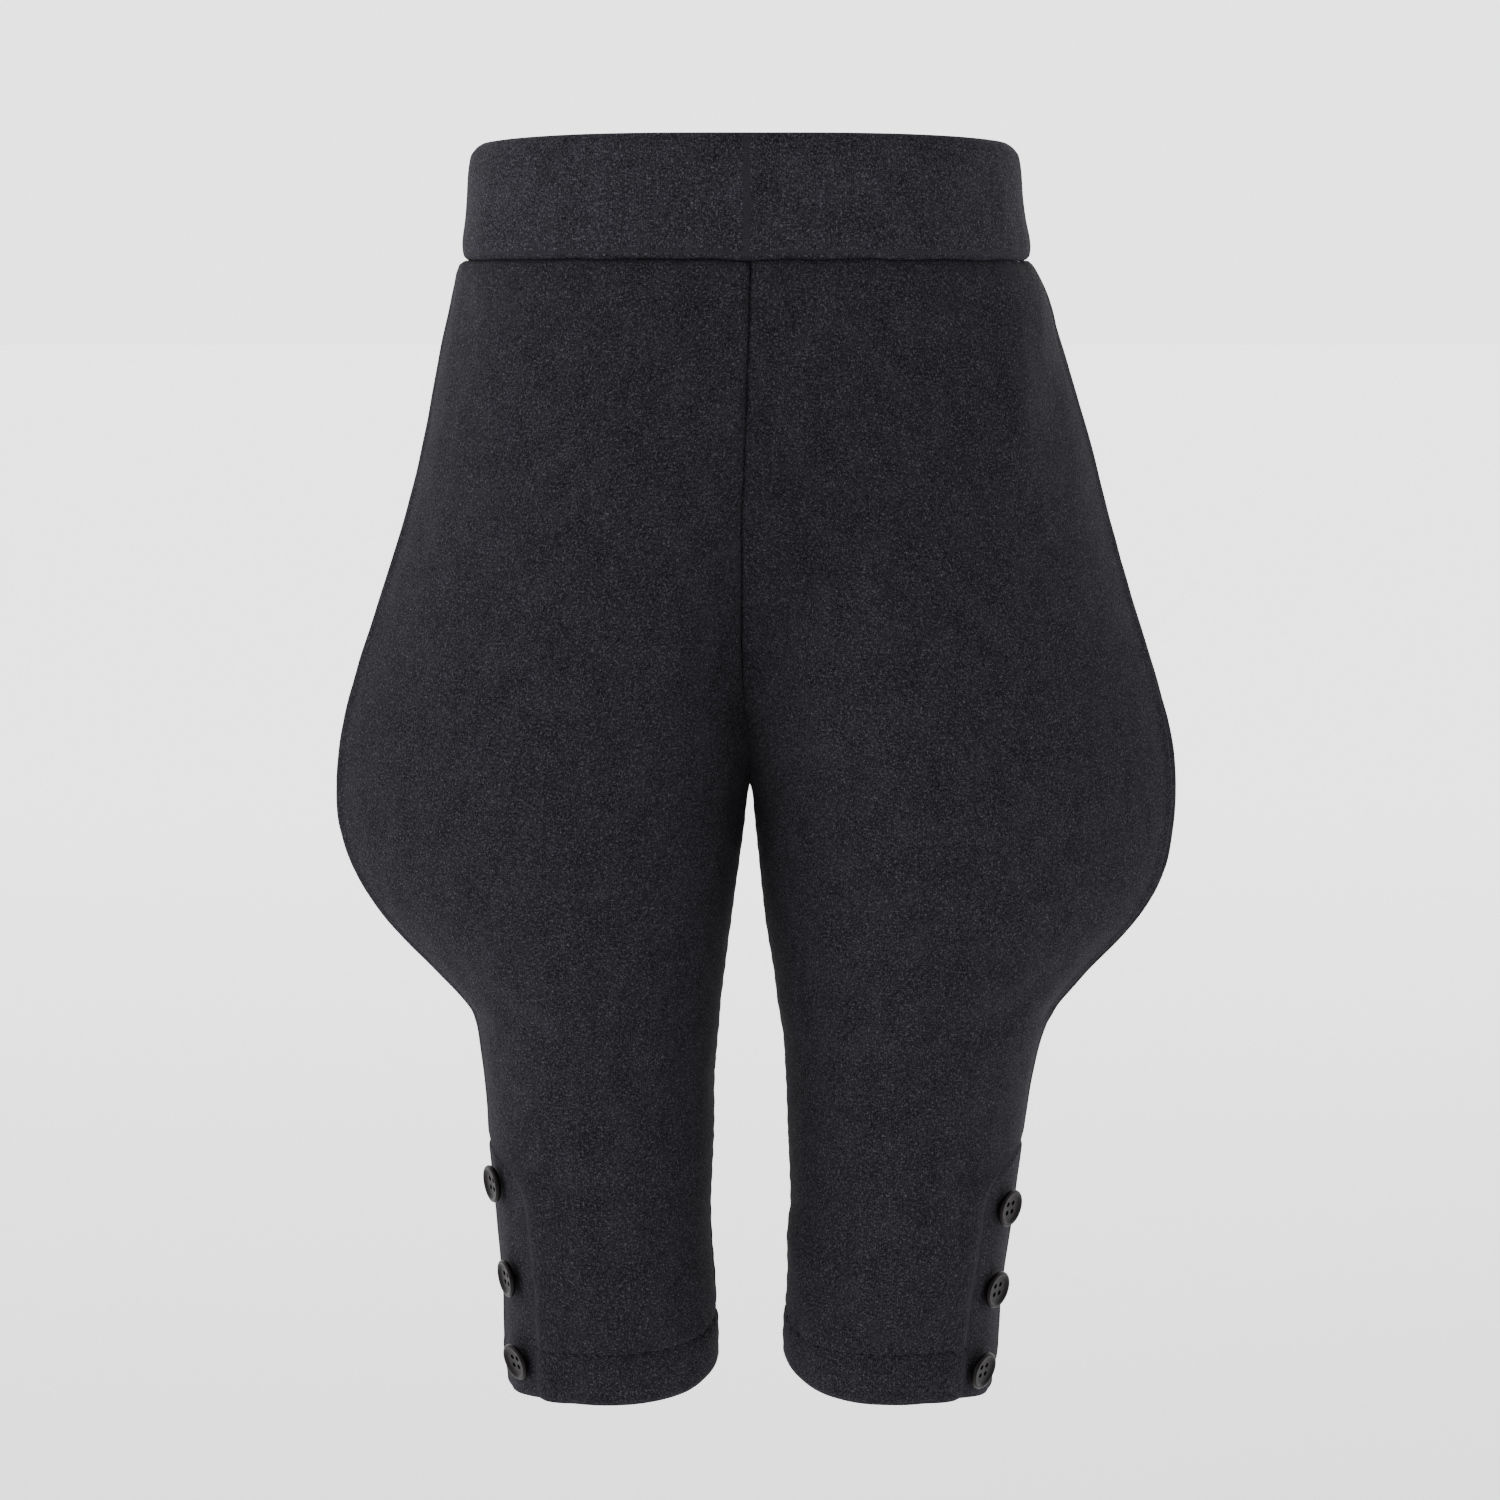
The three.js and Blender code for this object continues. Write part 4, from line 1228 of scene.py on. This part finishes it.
button_blank = cut_holes(spun(BUTTON_OUTLINE, BUTTON_SIDES), hole_cylinders())
thread_blank = thread_mesh()
parts = (("disc", button_blank, button_plastic), ("thread", thread_blank, thread))
counts = {LEFT: 0, RIGHT: 0}
for row in BUTTON_ROWS:
    leg = row[0]
    counts[leg] += 1
    name = f"button_{LEG_NAMES[leg]}_{counts[leg]}"
    place = button_frame(*row)
    for part, blank, finish in parts:
        mesh = blank.copy()
        mesh.transform(place)
        mesh.shade_smooth()
        mesh.set_sharp_from_angle(angle=BUTTON_CREASE)
        add_piece(f"{name}_{part}", mesh, finish, name if part == "disc" else None)
print(sum(counts.values()), "buttons of", len(button_blank.polygons), "faces")

# %% [markdown]
# ## The hem's stitches
#
# The hems are held up by a row of small stitches. They repeat along a line, so Geometry Nodes make them: the
# line is cut into even steps, and a rounded stitch is laid on each. The lengths differ a little, from a fixed
# seed of its own for each hem.

# %% Stitch tree
def stitch_tree():
    tree = bpy.data.node_groups.new("stitch_line", "GeometryNodeTree")
    kinds = {"Line": "Geometry", "Stitch Length": "Float", "Gap": "Float", "Thread Radius": "Float",
             "Seed": "Int", "Thread": "Material"}
    for name, kind in kinds.items():
        tree.interface.new_socket(name, in_out="INPUT", socket_type="NodeSocket" + kind)
    tree.interface.new_socket("Stitches", in_out="OUTPUT", socket_type="NodeSocketGeometry")
    graph = Graph(tree)
    given = {name: graph.node("NodeGroupInput", output=name) for name in kinds}
    line = graph.node("GeometryNodeMeshToCurve", None, {"Mesh": given["Line"]})
    pitch = given["Stitch Length"] + given["Gap"]
    steps = graph.node("GeometryNodeResampleCurve", {"mode": "LENGTH"}, {"Curve": line, "Length": pitch})
    tangent = graph.node("GeometryNodeInputTangent")
    turned = graph.node("FunctionNodeAlignRotationToVector", {"axis": "X"}, {"Vector": tangent})
    ball = graph.node("GeometryNodeMeshUVSphere", None, {"Segments": 8, "Rings": 6, "Radius": 1.0})
    uneven = graph.node("FunctionNodeRandomValue", {"data_type": "FLOAT"},
                        {"Min": 0.85, "Max": 1.1, "Seed": given["Seed"]}, 1)
    half = given["Stitch Length"] * 0.5 * uneven
    radius = given["Thread Radius"]
    size = graph.node("ShaderNodeCombineXYZ", None, {0: half, 1: radius, 2: radius})
    laid = graph.node("GeometryNodeInstanceOnPoints", None,
                      {"Points": steps, "Instance": ball, "Rotation": turned, "Scale": size})
    real = graph.node("GeometryNodeRealizeInstances", None, {"Geometry": laid})
    smooth = graph.node("GeometryNodeSetShadeSmooth", None, {"Geometry": real})
    done = graph.node("GeometryNodeSetMaterial", None, {"Geometry": smooth, "Material": given["Thread"]})
    graph.fill(tree.nodes.new("NodeGroupOutput"), {"Stitches": done})
    return tree


stitches_tree = stitch_tree()
print(len(stitches_tree.nodes), "nodes in the stitch tree")

# %% Hem stitches
STITCH_LENGTH = 2.3
STITCH_SPACE = 1.5
THREAD_RADIUS = 0.2
STITCH_RAISED = 0.05
STITCH_FREE_ENDS = 3


def stitch_line(name, points, seed):
    """Stitches along a line of points, as a plain mesh."""
    path = bpy.data.meshes.new(name)
    edges = [(i, i + 1) for i in range(len(points) - 1)]
    path.from_pydata([tuple(point * MM) for point in points], edges, [])
    line = bpy.data.objects.new(name, path)
    show(line)
    modifier = line.modifiers.new("stitches", "NODES")
    modifier.node_group = stitches_tree
    values = {"Stitch Length": STITCH_LENGTH * MM, "Gap": STITCH_SPACE * MM,
              "Thread Radius": THREAD_RADIUS * MM, "Seed": seed, "Thread": thread}
    for item in stitches_tree.interface.items_tree:
        if item.name in values:
            modifier[item.identifier] = values[item.name]
    return baked(line)


stitch_rows = {}
row = int(np.argmin(np.abs(panel_rows() - STITCH_Z)))
columns = len(INNER_COLUMNS) + len(SIDE_COLUMNS)
sewn = slice(STITCH_FREE_ENDS, -STITCH_FREE_ENDS)
for number, (node, panel) in enumerate(panels.items()):
    points = np.array([v.co for v in panel.data.vertices[row * columns:(row + 1) * columns]]) / MM
    outward = unit((points - points.mean(axis=0)) * [1, 1, 0])
    mesh = stitch_line(f"{node}_stitches", (points + outward * STITCH_RAISED)[sewn], 30 + number)
    stitch_rows[node] = bpy.data.objects.new(f"hem_stitches_{node}", mesh)
    show(stitch_rows[node])
    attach(stitch_rows[node], BODY)
    print(f"{node}: {len(mesh.polygons)} faces of stitches")

# %% [markdown]
# ## The end
